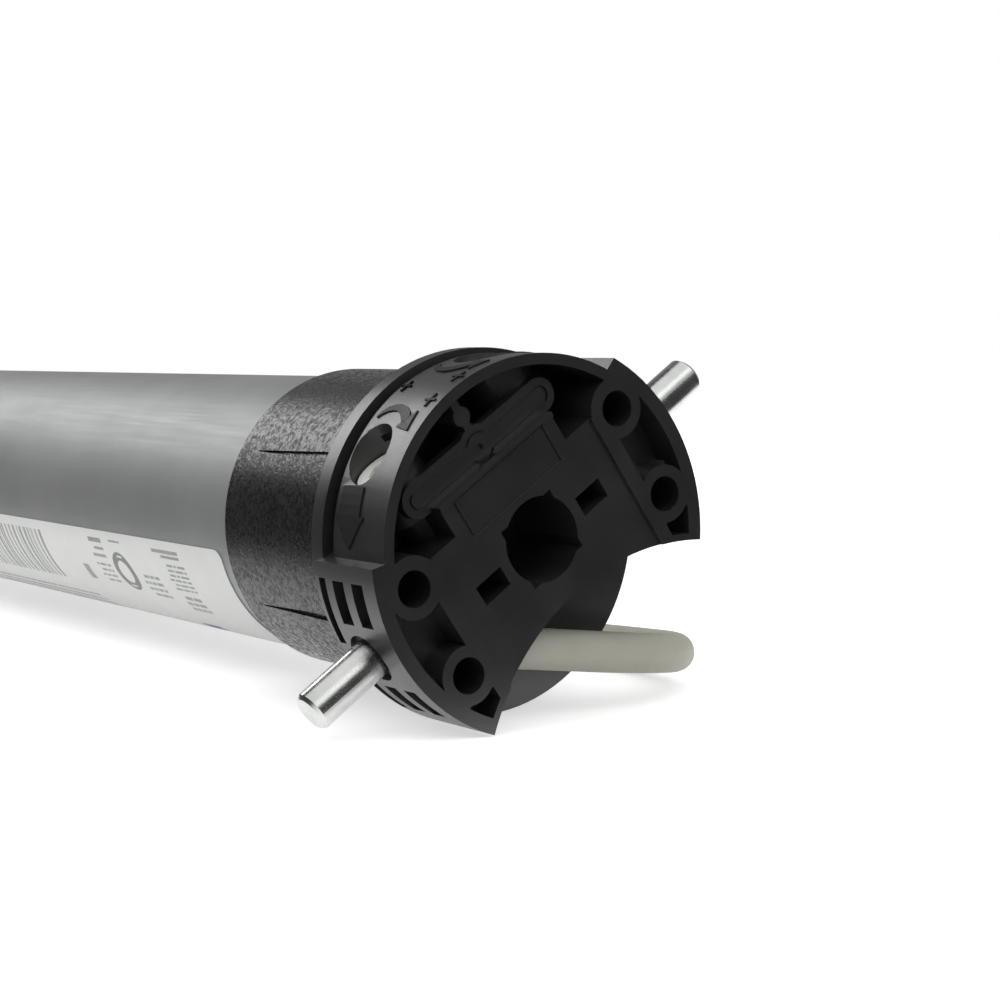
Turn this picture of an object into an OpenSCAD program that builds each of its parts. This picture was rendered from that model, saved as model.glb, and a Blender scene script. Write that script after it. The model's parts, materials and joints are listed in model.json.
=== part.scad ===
// Tubular roller blind motor with a side-pinned head, a turning crown and a planetary gearbox.
// The motor axis is X. The bracket face is at x = 0, +X points out of it, and +Z is up.
// Stations along the motor are distances behind the bracket face, so x = -station.

/* [Pose] */
// Roll of the side pins above the floor, about the motor axis
roll = 35; // [30:0.5:40]

/* [Head] */
// Radius of the round upper rim
rim_r = 26.3; // [26:0.1:26.5]
// Wall of the round upper rim
rim_wall = 1.6; // [1.4:0.1:1.8]
// Radius of the two raised wings
wing_r = 28.3; // [28:0.1:28.8]
// Wall round the wing pockets
wing_wall = 2.2; // [1.8:0.1:2.4]
// Height of the ledge where the wings end
ledge_v = 13.3; // [13:0.1:13.6]
// Slope of that ledge, outward and up
ledge_slope = 19; // [10:1:22]
// Depth of the head from its face to the flange
head_depth = 15.5; // [15.2:0.1:16.5]
// Thickness of the rear flange
flange_t = 3.1; // [2.5:0.1:4]
// Radius of the rear flange
flange_r = 27.1; // [26.4:0.1:27.4]
// Width of the groove in front of the flange
groove_w = 1.8; // [1.4:0.1:2]
// Radius at the bottom of that groove
groove_r = 22.5; // [21.5:0.1:23.5]
// Step between the raised wings and the centre plate
face_step = 0.5; // [0.3:0.1:0.8]
// Half width of the centre plate
plate_half = 16.35; // [16:0.05:16.6]
// Depth of the pocket behind the upper rim
pocket_depth = 11.5; // [10:0.5:12]
// Depth of the pockets in the wings
wing_pocket_depth = 5; // [3.5:0.1:5.2]

/* [Bracket fixings] */
// Distance of the screw holes from the middle, along the pin line
hole_u = 20.9; // [20.7:0.05:21.1]
// Distance of the screw holes from the pin line
hole_v = 7.675; // [7.5:0.025:7.8]
// Radius of the screw holes
hole_r = 2.6; // [2:0.1:2.8]
// Depth of the screw holes
hole_depth = 12; // [8:0.5:13]
// Radius of the rings round the screw holes
boss_r = 4.3; // [3.9:0.1:4.5]
// Round radius of the star socket
star_r = 6.2; // [5.8:0.1:6.4]
// Square drive that the star socket takes
star_square = 10.1; // [9.5:0.1:10.4]
// Depth of the star socket
star_depth = 16.5; // [12:0.5:17]
// Radius of the steel side pins
pin_r = 3; // [2.5:0.1:3.2]
// Distance of a side pin's tip from the axis
pin_tip = 40; // [36:0.5:42]
// Distance of a side pin's inner end from the axis
pin_root = 14; // [12:0.5:16]
// Station of the side pins
pin_station = 9; // [8.8:0.1:9.6]

/* [Limit adjusters] */
// Angle of each adjuster hole from the middle of the upper rim
adjuster_angle = 26.2; // [25:0.1:27]
// Lean of each adjuster's own axis from the middle plane
adjuster_tilt = 4; // [0:1:8]
// Station of the adjuster holes
adjuster_station = 9.1; // [8.8:0.1:9.3]
// Radius of the adjuster holes
adjuster_hole_r = 4.4; // [4.3:0.1:4.5]
// Radius of an adjuster's head
adjuster_r = 4.1; // [3.6:0.1:4.2]
// Depth of an adjuster's top below the rim, along its axis
adjuster_drop = 3.1; // [2.4:0.1:4]
// Radius of an adjuster's stem
adjuster_stem_r = 2.5; // [2:0.1:3]
// Hexagon key that turns an adjuster, across its flats
adjuster_key = 4; // [3:0.1:4.5]

/* [Crown] */
// Rise of the turning crown above the motor tube
crown_rise = 1.25; // [1:0.05:1.7]
// Wall of the crown outside its inner teeth's pitch circle
crown_wall = 2.95; // [2.9:0.05:3]
// Station of the crown's rear end
crown_end = 52.8; // [51.5:0.1:53]
// Step down from the motor tube's surface to the neck that the crown turns on
neck_inset = 1.1; // [1.05:0.05:1.3]
// Station where the neck steps down inside the crown's teeth
neck_step = 44; // [42:0.5:44]
// Wall of the clamp ring between the thin rear neck and the motor tube
clamp_wall = 1.7; // [1.6:0.1:2]
// Wall of the thin rear neck
tail_wall = 1.8; // [1.7:0.05:2]
// Station of the neck's rear end
neck_end = 66; // [64:0.5:68]
// Teeth inside the crown
crown_teeth = 52; // [52:4:52]

/* [Motor tube] */
// Outer radius of the motor tube
tube_r = 22.5; // [22.3:0.1:23]
// Wall of the motor tube
tube_wall = 1; // [0.8:0.05:1.1]
// Length of the label
label_len = 170; // [120:5:200]

/* [Motor] */
// Radius of the capacitor
capacitor_r = 15; // [12:0.5:17]
// Length of the capacitor
capacitor_len = 56; // [40:1:60]
// Length of the stator core
stator_len = 115; // [80:5:140]
// Share of the tube's inner radius that the stator's bore takes
stator_bore_share = 0.56; // [0.54:0.01:0.58]
// Slots in the stator core
slots = 12; // [6:1:12]
// Radius of the rotor shaft
shaft_r = 4; // [3.5:0.1:4]
// Travel of the brake armature
brake_travel = 0.6; // [0.4:0.1:0.8]

/* [Gearbox] */
// Wall of the ring gear behind its teeth
ring_wall = 2.575; // [2.3:0.025:2.8]
// Face width of the first planets
width_1 = 14; // [10:1:18]
// Face width of the second planets
width_2 = 18; // [14:1:22]
// Face width of the third planets
width_3 = 24; // [18:1:28]
// Radius of the planet pins
planet_pin_r = 2; // [1.6:0.1:2.4]
// Radius of the output journal
output_r = 9; // [8:0.5:10]
// Radius of the output spigot that takes the drive wheel
spigot_r = 8; // [6.5:0.5:8]
// Length of the output spigot
spigot_len = 24; // [18:1:30]

/* [Mains lead] */
// Diameter of the mains lead
lead_d = 6.2; // [6:0.1:6.3]
// Radius of the inner turns of the put away lead
coil_in = 27; // [27:0.5:28]
// Sideways step from one turn to the next
coil_step = 7.8; // [7.8:0.1:8]
// Upward step from one layer to the next
coil_rise = 6.7; // [6.7:0.05:6.9]

/* [Hidden] */
$fn = 96;

// Clearances
run_gap = 0.08;
seat_gap = 0.1;
end_gap = 0.3;
eps = 0.01;

// Radii that follow from the motor tube
tube_bore_r = tube_r - tube_wall;
lining_r = tube_bore_r - seat_gap;
tail_r = lining_r - clamp_wall - seat_gap;
neck_bore_r = tail_r - tail_wall;
neck_r = tube_r - neck_inset;
crown_r = tube_r + crown_rise;

// Colours
black_plastic = "#1c1c1d";
pale_plastic = "#e8e8e2";
zinc = "#c9ccce";
steel = "#9a9da0";
brass = "#b89a4a";
copper = "#b4673a";

// Head
rim_inner = rim_r - rim_wall;
pocket_r = wing_r - wing_wall;
rim_back = head_depth - groove_w;
flange_back = head_depth + flange_t;
notch_v = -47;
notch_r = 37.2;
notch_wall = 1;
slot_u = 10.3;
slot_v = -0.28;
slot_w = 4.9;
slot_h = 3.15;
slot_depth = 10;
wing_pocket_u = 18.8;
small_pocket_v = -11.5;
small_pocket_u = 18.6;
panel_half = 11.3;
panel_bottom = 9.2;
panel_top = 14.1;
panel_line = 0.35;
panel_w = 18.2;
panel_h = 6.4;
panel_v = 10.4;
bar_v = 16.1;
bar_end = 12.3;
bar_r = 2.6;
bar_front = 2.5;
bar_depth = 1.7;
bar_line_r = 1.45;
bar_line_w = 0.35;
hub_r = 3.3;
hub_line_r = 2.35;
hub_dot_r = 0.5;
rib_w = 1.3;
bump_v = 21.3;
bump_r = 1.4;
engrave = 0.4;
window_in = 25;
window_rear = 8.5;
window_front = 3.3;
window_w = 3;
window_from = 11.5;
window_to = 24.5;
slit_w = 1.7;
slit_from = 4.3;
slit_to = 24.8;
pin_counterbore = 4;
pin_counter_depth = 1.2;
pin_stem_r = pin_r - 0.3;
pin_chamfer = 0.5;
pin_free = wing_r - pin_counter_depth;

// Adjusters, in the head
ledge_from = sqrt(pow(rim_r, 2) - pow(ledge_v, 2));
adjuster_top = rim_r - adjuster_drop;
adjuster_seat = adjuster_top - 6;
adjuster_root = adjuster_seat - 6;
adjuster_wall = 0.8;
adjuster_floor = 1.5;
adjuster_key_depth = 3;

// Lead passage and gland
floor_z = -27;
gland_station = 9;
gland_len = 5;
gland_r = 4.2;
gland_drop = 6;
gland_mouth = 4;
duct_r = 3.3;
duct_at = neck_bore_r - 2.65;
duct_angle = 218.8;
duct_u = duct_at * cos(duct_angle);
duct_v = duct_at * sin(duct_angle);

// Crown
crown_front = flange_back + end_gap;
crown_bore_r = neck_r + run_gap;
crown_pitch_r = crown_r - crown_wall;
crown_module = 2 * crown_pitch_r / crown_teeth;
crown_wedges = 6;
wedge_w = 1.8;
wedge_depth = 0.5;
wedge_end = 46;
wedge_angle = 116.5;
crown_chamfer = 0.6;
clamp_front = crown_end + end_gap;

// Limit train, placed on a line out of the axis at limit_angle
limit_angle = 70;
pinion_teeth = 16;
pinion_a = crown_pitch_r - pinion_teeth * crown_module / 2;
small_teeth = 10;
idler_teeth = 40;
wheel_teeth = 30;
wheel_room = 9.7;
wheel_a = wheel_room - neck_bore_r;
small_module = 2 * (pinion_a - wheel_a) / (2 * small_teeth + idler_teeth + wheel_teeth);
idler_a = pinion_a - (small_teeth + idler_teeth) * small_module / 2;
limit_shaft_r = 1.5;
frame_r = neck_bore_r - seat_gap;
frame_t = 2;
frame_front = flange_back + 1.6;
frame_back = neck_end - 6;
pinion_from = neck_step + 1.2;
pinion_to = crown_end - 1.2;
small_from = pinion_to + 0.6;
idler_from = small_from + 0.3;
idler_to = idler_from + 3.6;
wheel_t = 3.6;
up_station = 43;
down_station = 33;
cam_t = 3.4;
cam_r = wheel_teeth * small_module / 2 - 1.3;
cam_lobe_r = cam_r + 1.4;
switch_w = 5.6;
switch_b = cam_lobe_r + 1.7;
switch_h = 4.7;
switch_from_a = wheel_a - 1.7;
switch_len = 9.2;
button_r = 0.9;
button_len = 2.4;
terminal_a = 3.7 - frame_r;
terminal_b = 3.5;
terminal_w = 10;
terminal_h = 6;
terminal_len = 8;
bridge_b = switch_b + switch_h + 0.1;
bridge_t = 1.4;
bridge_from = -6;
bridge_w = 7;
window_half = 7.6;

// Motor tube and what it holds
tube_front = crown_end + 0.5;
label_front = tube_front + 2.2;
label_from = 157.3;
label_to = 265;
label_t = 0.12;
label_gap = 0.04;
capacitor_front = neck_end + 4;
capacitor_back = capacitor_front + capacitor_len;
shield_t = 8;
front_shield_front = capacitor_back + 16;
front_shield_back = front_shield_front + shield_t;
winding_over = 11;
stator_front = front_shield_back + winding_over + 4;
stator_back = stator_front + stator_len;
rear_shield_front = stator_back + winding_over + 3;
rear_shield_back = rear_shield_front + shield_t;
bush_r = 7.5;
stator_bore_r = lining_r * stator_bore_share;
slot_in = stator_bore_r + 1.6;
slot_out = lining_r - 3;
stator_slot_w = 2.8;
rotor_r = stator_bore_r - 0.4;

// Brake
magnet_back = rear_shield_back + 14;
magnet_r = lining_r - 2.4;
armature_front = magnet_back + brake_travel + 0.1;
armature_back = armature_front + 3.2;
disc_front = armature_back + end_gap;
disc_back = disc_front + 5;
plate_front = disc_back + end_gap;
plate_back = plate_front + 3.5;
brake_disc_r = magnet_r - 6.4;
shaft_gap = 1.4;
guide_r = 1.2;
guide_at = magnet_r - 3.5;
spring_r = 9;
spring_wire = 1.2;
spring_turns = 5;
spring_rings = 16;
spring_sides = 6;
spring_pocket = 9;

// Planetary stages
sun_teeth = 12;
planet_teeth = 18;
ring_teeth = 48;
planets = 3;
root_depth = 1.1;
gear_module = 2 * (lining_r - ring_wall) / (ring_teeth + 2 * root_depth);
orbit_r = (sun_teeth + planet_teeth) * gear_module / 2;
backlash = 0.07;
small_backlash = 0.14;
small_up = 0.65;
carrier_r = orbit_r + planet_pin_r + 2.35;
stage_gap = 1;
side_gap = 0.5;
sun_lead = 1.5;
sun_short = 0.2;
box_front = plate_back;
start_1 = box_front + 3;
disc_1 = start_1 + width_1 + side_gap;
disc_1_t = 4.5;
start_2 = disc_1 + disc_1_t + stage_gap;
disc_2 = start_2 + width_2 + side_gap;
disc_2_t = 5.5;
start_3 = disc_2 + disc_2_t + stage_gap;
disc_3 = start_3 + width_3 + side_gap;
disc_3_t = 8;
ring_back = disc_3 + disc_3_t + 6;
bush_flange_t = 12;
tube_end = ring_back + bush_flange_t;
lip_t = 3;
bush_wall = 3;
snap_ring_at = tube_end + lip_t + 0.6;
snap_ring_t = 1;
snap_ring_in = 0.8;
snap_ring_out = 1.4;
spigot_from = snap_ring_at + snap_ring_t + 1;
spigot_end = spigot_from + spigot_len;
flat_depth = 0.5;
wheel_groove = spigot_end - 3.5;
wheel_groove_w = 1.1;
rivet_r = 1.6;
rivet_station = tube_end - bush_flange_t / 2;
rivets = 4;

// Lead route, from the gland to the coil, and from the coil to the bare end
gland_exit = [-9, -2.75, -16.1];
coil_x = -177;
entry_y = 32.5;
coil_bottom = floor_z + 1.3;
coil_turns = 2.125;
coil_layers = 4;
coil_rings = 24;
coil_sides = 6;
coil_out = coil_in + coil_turns * coil_step;
coil_y = entry_y + coil_out;
coil_z = coil_bottom + lead_d / 2;
coil_top = coil_z + (coil_layers - 1) * coil_rise;
stretch_points = [
    [-9, -2.7, -16.1], [-9, 4, -16.8], [-9, 11, -17.6], [-9, 18, -18.4], [-10, 25, -19.2],
    [-13, 32, -20.1], [-18, 38, -21], [-25, 42.5, -21.8], [-33, 44.5, -22.4], [-42, 44.6, -22.8],
    [-52, 43.6, -23.1], [-64, 41.6, -23.3], [-78, 39, -23.3], [-94, 36.4, -23.1], [-112, 34.2, -22.9],
    [-130, 32.9, -22.7], [-146, 32.5, -22.6], [-156, 32.5, -22.6], [-163, 32.5, -22.6], [-170, 32.5, -22.6]];
tail_points = [
    [-184, 32.5, -2.5], [-191, 32.5, -2.5], [-199, 32.4, -3.6], [-209, 32, -6], [-220, 31.6, -9.8],
    [-231, 31.2, -14], [-242, 31, -17.8], [-253, 31, -20.8], [-264, 31, -22.8], [-275, 31, -23.7],
    [-287, 31, -23.9], [-293, 31, -23.9]];
core_r = 1.1;
core_pitch = 1.6;
core_len = 45;
ferrule_len = 8;
ferrule_r = 0.75;
tie_w = 4;
tie_t = 0.9;
tie_room = 0.3;

// Places the children, drawn in the (u, v) plane with their height along the axis, on the motor
module axial() rotate([roll, 0, 0]) rotate([90, 0, 90]) children();

module rod(r, from, to) translate([0, 0, -to]) cylinder(r = r, h = to - from);

module tube(outer, inner, from, to) difference() {
    rod(outer, from, to);
    rod(inner, from - 1, to + 1);
}

module slab(from, to) translate([0, 0, -to]) linear_extrude(to - from) children();

// A stretch of the angle from one bearing to another, as a wedge that reaches past radius r
module sector(r, from, to) polygon([[0, 0], for (i = [0:4]) let (a = from + (to - from) * i / 4)
    [2 * r * cos(a), 2 * r * sin(a)]]);

module both_sides() {
    children();
    mirror([1, 0, 0]) children();
}

// Gear outlines. The flank is an involute at three radii, thinned by the backlash.
pressure_angle = 20;
function involute(a) = tan(a) * 180 / PI - a;
function pressure(base, r) = r > base ? acos(base / r) : 0;
function half_tooth(teeth, pitch_r, r, thin) =
    90 / teeth - thin / pitch_r * 180 / PI + involute(pressure_angle)
        - involute(pressure(pitch_r * cos(pressure_angle), r));
function tooth(teeth, pitch_r, radii, thin, at) = [
    for (r = radii) let (a = at - half_tooth(teeth, pitch_r, r, thin)) [r * cos(a), r * sin(a)],
    for (i = [len(radii) - 1:-1:0]) let (r = radii[i], a = at + half_tooth(teeth, pitch_r, r, thin))
        [r * cos(a), r * sin(a)]];

module gear(teeth, size, thin, up, down, phase = 0) {
    pitch_r = teeth * size / 2;
    radii = [pitch_r - down * size, pitch_r, pitch_r + up * size];
    polygon([for (i = [0:teeth - 1]) each tooth(teeth, pitch_r, radii, thin, phase + 360 * i / teeth)]);
}

// Head
module above_ledge() difference() {
    translate([-wing_r, ledge_v]) square([2 * wing_r, wing_r]);
    for (side = [-1, 1]) scale([side, 1]) polygon([[ledge_from, ledge_v - eps], [wing_r, ledge_v - eps],
        [wing_r, ledge_v + (wing_r - ledge_from) * tan(ledge_slope)]]);
}

module head_outline() difference() {
    union() {
        circle(r = rim_r);
        difference() {
            circle(r = wing_r);
            above_ledge();
        }
    }
    translate([0, notch_v]) circle(r = notch_r);
}

module centre_plate() difference() {
    translate([-plate_half, -wing_r]) square([2 * plate_half, 2 * wing_r]);
    for (side = [-1, 1]) translate([side * hole_u, hole_v]) circle(r = boss_r + 0.3);
    translate([-wing_r, ledge_v]) square([2 * wing_r, wing_r]);
}

module stadium(r) hull() for (side = [-1, 1]) translate([side * bar_end, 0]) circle(r = r, $fn = 32);

module upper_pocket() difference() {
    circle(r = rim_inner);
    translate([-wing_r, -wing_r]) square([2 * wing_r, wing_r + panel_bottom]);
    translate([-panel_half, 0]) square([2 * panel_half, panel_top]);
    for (side = [-1, 1]) {
        translate([side * hole_u, hole_v]) circle(r = boss_r + 0.3);
        translate([side * (wing_r + hole_u) - wing_r, 0]) square([2 * wing_r, ledge_v - 1]);
    }
}

module wing_pocket() difference() {
    intersection() {
        circle(r = pocket_r);
        translate([-wing_r, -hole_v]) square([wing_r - wing_pocket_u, 2 * hole_v]);
    }
    for (end = [-1, 1]) translate([-hole_u, end * hole_v]) circle(r = boss_r);
}

module small_pocket() difference() {
    intersection() {
        circle(r = pocket_r);
        translate([-wing_r, -wing_r]) square([wing_r - small_pocket_u, wing_r + small_pocket_v]);
    }
    translate([-hole_u, -hole_v]) circle(r = boss_r);
    translate([0, notch_v]) circle(r = notch_r + notch_wall);
}

module side_window(from, width, start, end) for (turn = [-1, 1])
    slab(from, from + width) difference() {
        sector(wing_r, 180 + turn * start, 180 + turn * end);
        circle(r = window_in);
    }

// Heights along an adjuster's axis are rim_r where it crosses the rim
module adjuster_axis(side) translate([0, 0, -adjuster_station])
    translate(rim_r * [-side * sin(adjuster_angle), cos(adjuster_angle), 0])
        rotate([0, 0, 90 + side * adjuster_tilt]) rotate([0, 90, 0]) translate([0, 0, -rim_r]) children();

module gland_axis() translate(gland_exit) rotate([90 - gland_drop, 0, 0]) children();

module head_blank() {
    slab(0, rim_back) head_outline();
    slab(rim_back - eps, head_depth) difference() {
        head_outline();
        difference() {
            above_ledge();
            circle(r = groove_r);
        }
    }
    rod(flange_r, head_depth - eps, flange_back);
    rod(neck_r, flange_back - eps, neck_step);
    rod(tail_r, neck_step - eps, neck_end);
}

module pocket_fill() {
    slab(bar_front, bar_front + bar_depth) translate([0, bar_v]) {
        stadium(bar_r);
        circle(r = hub_r);
    }
    slab(bar_front, pocket_depth) translate([-rib_w / 2, bar_v]) square([rib_w, rim_inner - bar_v]);
    slab(bar_front, pocket_depth) translate([0, bump_v]) circle(r = bump_r);
    slab(bar_front + bar_depth - eps, pocket_depth) translate([-hub_r, panel_top - 1])
        square([2 * hub_r, bar_v - panel_top]);
    intersection() {
        for (side = [-1, 1]) adjuster_axis(side) {
            cylinder(r = adjuster_stem_r + adjuster_wall, h = adjuster_seat);
            translate([0, 0, adjuster_seat - adjuster_floor])
                cylinder(r = adjuster_hole_r + adjuster_wall, h = rim_r - adjuster_seat);
        }
        rod(rim_inner + 0.5, 2, rim_back);
    }
}

module bar_line(inset) {
    stadium(bar_line_r - inset);
    circle(r = hub_line_r - inset);
}

module bar_lines() slab(bar_front - 1, bar_front + engrave) translate([0, bar_v]) {
    difference() {
        bar_line(0);
        bar_line(bar_line_w);
    }
    circle(r = hub_dot_r);
}

module panel_outline() translate([0, panel_v]) difference() {
    square([panel_w, panel_h], center = true);
    square([panel_w - 2 * panel_line, panel_h - 2 * panel_line], center = true);
}

module head_cuts() {
    slab(-1, face_step) centre_plate();
    slab(-1, star_depth) {
        circle(r = star_r);
        square(star_square, center = true);
    }
    both_sides() {
        slab(-1, slot_depth) translate([slot_u, slot_v]) square([slot_w, slot_h], center = true);
        for (end = [-1, 1]) translate([hole_u, end * hole_v]) rod(hole_r, -1, hole_depth);
        slab(-1, wing_pocket_depth) wing_pocket();
        slab(-1, wing_pocket_depth) small_pocket();
        side_window(window_rear, window_w, window_from, window_to);
        side_window(window_front, window_w, window_from, window_to);
        side_window(head_depth - slit_w - 0.3, slit_w, slit_from, slit_to);
        translate([0, 0, -pin_station]) rotate([0, 90, 0]) {
            translate([0, 0, pin_root]) cylinder(r = pin_stem_r + 0.02, h = wing_r);
            translate([0, 0, pin_free]) cylinder(r = pin_counterbore, h = 2);
        }
        adjuster_axis(1) {
            translate([0, 0, adjuster_seat]) cylinder(r = adjuster_hole_r, h = wing_r);
            translate([0, 0, adjuster_root - end_gap]) cylinder(r = adjuster_stem_r + run_gap, h = wing_r);
        }
    }
    translate([duct_u, duct_v, 0]) rod(duct_r, gland_station, flange_back + 2);
    rod(neck_bore_r, flange_back + 1, neck_end + 1);
    rotate([0, 0, limit_angle]) slab(neck_step + 0.3, crown_end + 0.3)
        translate([neck_bore_r - 6, -window_half]) square([10, 2 * window_half]);
}

module head_body() color(black_plastic) difference() {
    axial() difference() {
        union() {
            difference() {
                head_blank();
                slab(-1, pocket_depth) upper_pocket();
            }
            pocket_fill();
        }
        head_cuts();
        bar_lines();
        slab(0, face_step + engrave / 2) panel_outline();
    }
    gland_axis() translate([0, 0, -gland_mouth])
        cylinder(r = gland_r + seat_gap, h = gland_mouth + gland_len + seat_gap);
}

module side_pin(side) color(zinc) axial() translate([0, 0, -pin_station]) rotate([0, side * 90, 0]) {
    translate([0, 0, pin_root + seat_gap])
        cylinder(r = pin_stem_r, h = pin_free - pin_root - seat_gap + eps);
    translate([0, 0, pin_free]) cylinder(r = pin_r, h = pin_tip - pin_free - pin_chamfer);
    translate([0, 0, pin_tip - pin_chamfer]) cylinder(r1 = pin_r, r2 = pin_r - pin_chamfer, h = pin_chamfer);
}
module side_pin_left() side_pin(-1);
module side_pin_right() side_pin(1);

module adjuster(side) color(pale_plastic) axial() adjuster_axis(side) difference() {
    union() {
        translate([0, 0, adjuster_root]) cylinder(r = adjuster_stem_r, h = adjuster_top - adjuster_root);
        translate([0, 0, adjuster_seat + end_gap])
            cylinder(r = adjuster_r, h = adjuster_top - adjuster_seat - end_gap);
    }
    translate([0, 0, adjuster_top - adjuster_key_depth])
        cylinder(r = adjuster_key / sqrt(3), h = adjuster_key_depth + 1, $fn = 6);
}
module adjuster_left() adjuster(1);
module adjuster_right() adjuster(-1);

module cable_gland() color("#2a2a2b") gland_axis() difference() {
    cylinder(r = gland_r, h = gland_len);
    translate([0, 0, gland_len / 2]) cylinder(r = lead_d / 2 - 1, h = gland_len);
}

// Crown
module crown_ring() color("#232325") axial() difference() {
    union() {
        rod(crown_r, crown_front, crown_end - crown_chamfer);
        translate([0, 0, -crown_end]) cylinder(r1 = crown_r - crown_chamfer, r2 = crown_r, h = crown_chamfer);
    }
    rod(crown_bore_r, crown_front - 1, neck_step + 0.5);
    slab(neck_step + 0.4, crown_end + 1) gear(crown_teeth, crown_module, -backlash, 1.1, 0.8, limit_angle);
    for (i = [0:crown_wedges - 1]) rotate([0, 0, wedge_angle + i * 360 / crown_wedges])
        translate([crown_r - wedge_depth, 0, 0]) rotate([0, 90, 0]) linear_extrude(2)
            polygon([[crown_front - 1, -wedge_w / 2], [crown_front - 1, wedge_w / 2], [wedge_end, 0.1],
                [wedge_end, -0.1]]);
}

module neck_clamp_ring() color(black_plastic) axial()
    tube(lining_r, tail_r + seat_gap, clamp_front, neck_end);

// Limit switch unit. The local first axis points from the motor axis to the crown pinion.
module limit_line() axial() rotate([0, 0, limit_angle]) children();

module limit_frame() color("#d9d8cf") limit_line() {
    difference() {
        union() {
            rod(frame_r, frame_front, frame_front + frame_t);
            rod(frame_r, frame_back, frame_back + frame_t);
            for (side = [0, 1]) slab(frame_front, frame_back + frame_t) mirror([0, side])
                translate([bridge_from, bridge_b]) square([bridge_w, bridge_t]);
        }
        translate([pinion_a, 0, 0]) rod(limit_shaft_r + run_gap, frame_front - 1, frame_back + frame_t + 1);
        slab(frame_front - 1, frame_front + frame_t + 1) rotate(-limit_angle) translate([duct_u, duct_v])
            circle(r = duct_r);
    }
    translate([wheel_a, 0, 0])
        rod(limit_shaft_r, frame_front + frame_t - eps, up_station + cam_t + wheel_t + 1);
    translate([idler_a, 0, 0]) rod(1, down_station + 1, frame_back + eps);
}

module small_gear(teeth, phase = 0) gear(teeth, small_module, small_backlash, small_up, 1.05, phase);

module crown_pinion() color("#f0efe8") limit_line() translate([pinion_a, 0, 0]) {
    rod(limit_shaft_r, frame_front + 0.5, frame_back + frame_t);
    slab(pinion_from, pinion_to) gear(pinion_teeth, crown_module, backlash, 0.8, 1.1);
    slab(small_from, idler_to + 0.3) small_gear(small_teeth);
}

module idler_gear() color("#c8463c") limit_line() translate([idler_a, 0, 0]) difference() {
    union() {
        slab(idler_from, idler_to) small_gear(idler_teeth, 180 / idler_teeth);
        slab(down_station + 2, idler_from + eps) small_gear(small_teeth);
    }
    rod(1 + run_gap, down_station, frame_back);
}

module limit_wheel(station) color("#3e6fb0") limit_line() translate([wheel_a, 0, 0]) difference() {
    union() {
        slab(station + cam_t, station + cam_t + wheel_t)
            small_gear(wheel_teeth, 180 / wheel_teeth);
        rod(cam_r, station, station + cam_t + eps);
        slab(station, station + cam_t) rotate(-60) hull() {
            circle(r = cam_r - 1, $fn = 32);
            translate([cam_lobe_r - 1, 0]) circle(r = 1, $fn = 32);
        }
    }
    rod(limit_shaft_r + run_gap, station - 1, station + cam_t + wheel_t + 1);
}
module limit_wheel_up() limit_wheel(up_station);
module limit_wheel_down() limit_wheel(down_station);

module microswitch(station) color("#222224") limit_line() difference() {
    slab(station + cam_t / 2 - switch_w / 2, station + cam_t / 2 + switch_w / 2)
        translate([switch_from_a, switch_b]) square([switch_len, switch_h]);
    translate([wheel_a, switch_b - 1, -station - cam_t / 2]) rotate([-90, 0, 0])
        cylinder(r = button_r + run_gap, h = 3);
}
module microswitch_up() microswitch(up_station);
module microswitch_down() microswitch(down_station);

module switch_button(station) color("#d8d8d4") limit_line()
    translate([wheel_a, switch_b - 1, -station - cam_t / 2]) rotate([-90, 0, 0])
        cylinder(r = button_r, h = button_len);
module switch_button_up() switch_button(up_station);
module switch_button_down() switch_button(down_station);

module terminal_block() color("#dedbd0") limit_line()
    slab(frame_front + frame_t + seat_gap, frame_front + frame_t + terminal_len)
        translate([terminal_a, terminal_b]) square([terminal_w, terminal_h]);

module inner_leads() color(pale_plastic) axial() translate([duct_u, duct_v, 0])
    for (i = [0:3]) rotate([0, 0, 45 + 90 * i]) translate([1.3, 0, 0])
        rod(0.9, gland_station + 4.6, frame_front + frame_t);

// Tube and what it holds
module motor_tube() color("#85888b") axial() difference() {
    tube(tube_r, tube_bore_r, tube_front, tube_end);
    for (i = [0:rivets - 1]) rotate([0, 0, 45 + i * 360 / rivets]) translate([0, 0, -rivet_station])
        rotate([0, 90, 0]) cylinder(r = rivet_r + seat_gap, h = tube_r + 1);
}

module rating_label() color("#eceeee") axial() slab(label_front, label_front + label_len) intersection() {
    difference() {
        circle(r = tube_r + label_gap + label_t);
        circle(r = tube_r + label_gap);
    }
    polygon([[0, 0], for (i = [0:4]) let (a = label_from + (label_to - label_from) * i / 4)
        [2 * tube_r * cos(a), 2 * tube_r * sin(a)]]);
}

module tube_rivets() color(steel) axial() for (i = [0:rivets - 1])
    rotate([0, 0, 45 + i * 360 / rivets]) translate([0, 0, -rivet_station]) rotate([0, 90, 0]) {
        translate([0, 0, tube_bore_r - 4]) cylinder(r = rivet_r, h = tube_wall + 4.2);
        translate([0, 0, tube_r + 0.05]) cylinder(r1 = rivet_r + 0.9, r2 = rivet_r, h = 0.6);
    }

module capacitor() color("#d7d9da") axial() {
    rod(capacitor_r, capacitor_front, capacitor_back);
    rod(3, capacitor_back - eps, capacitor_back + 6);
}

module capacitor_sleeve() color("#3a3a3a") axial()
    tube(lining_r, capacitor_r + seat_gap, capacitor_front + 4, capacitor_back - 4);

module shield(from) color("#b9bcbe") axial() tube(lining_r, bush_r + seat_gap, from, from + shield_t);
module bush(from) color(brass) axial() tube(bush_r, shaft_r + run_gap, from, from + shield_t);
module front_shield() shield(front_shield_front);
module front_bush() bush(front_shield_front);
module rear_shield() shield(rear_shield_front);
module rear_bush() bush(rear_shield_front);

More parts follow.
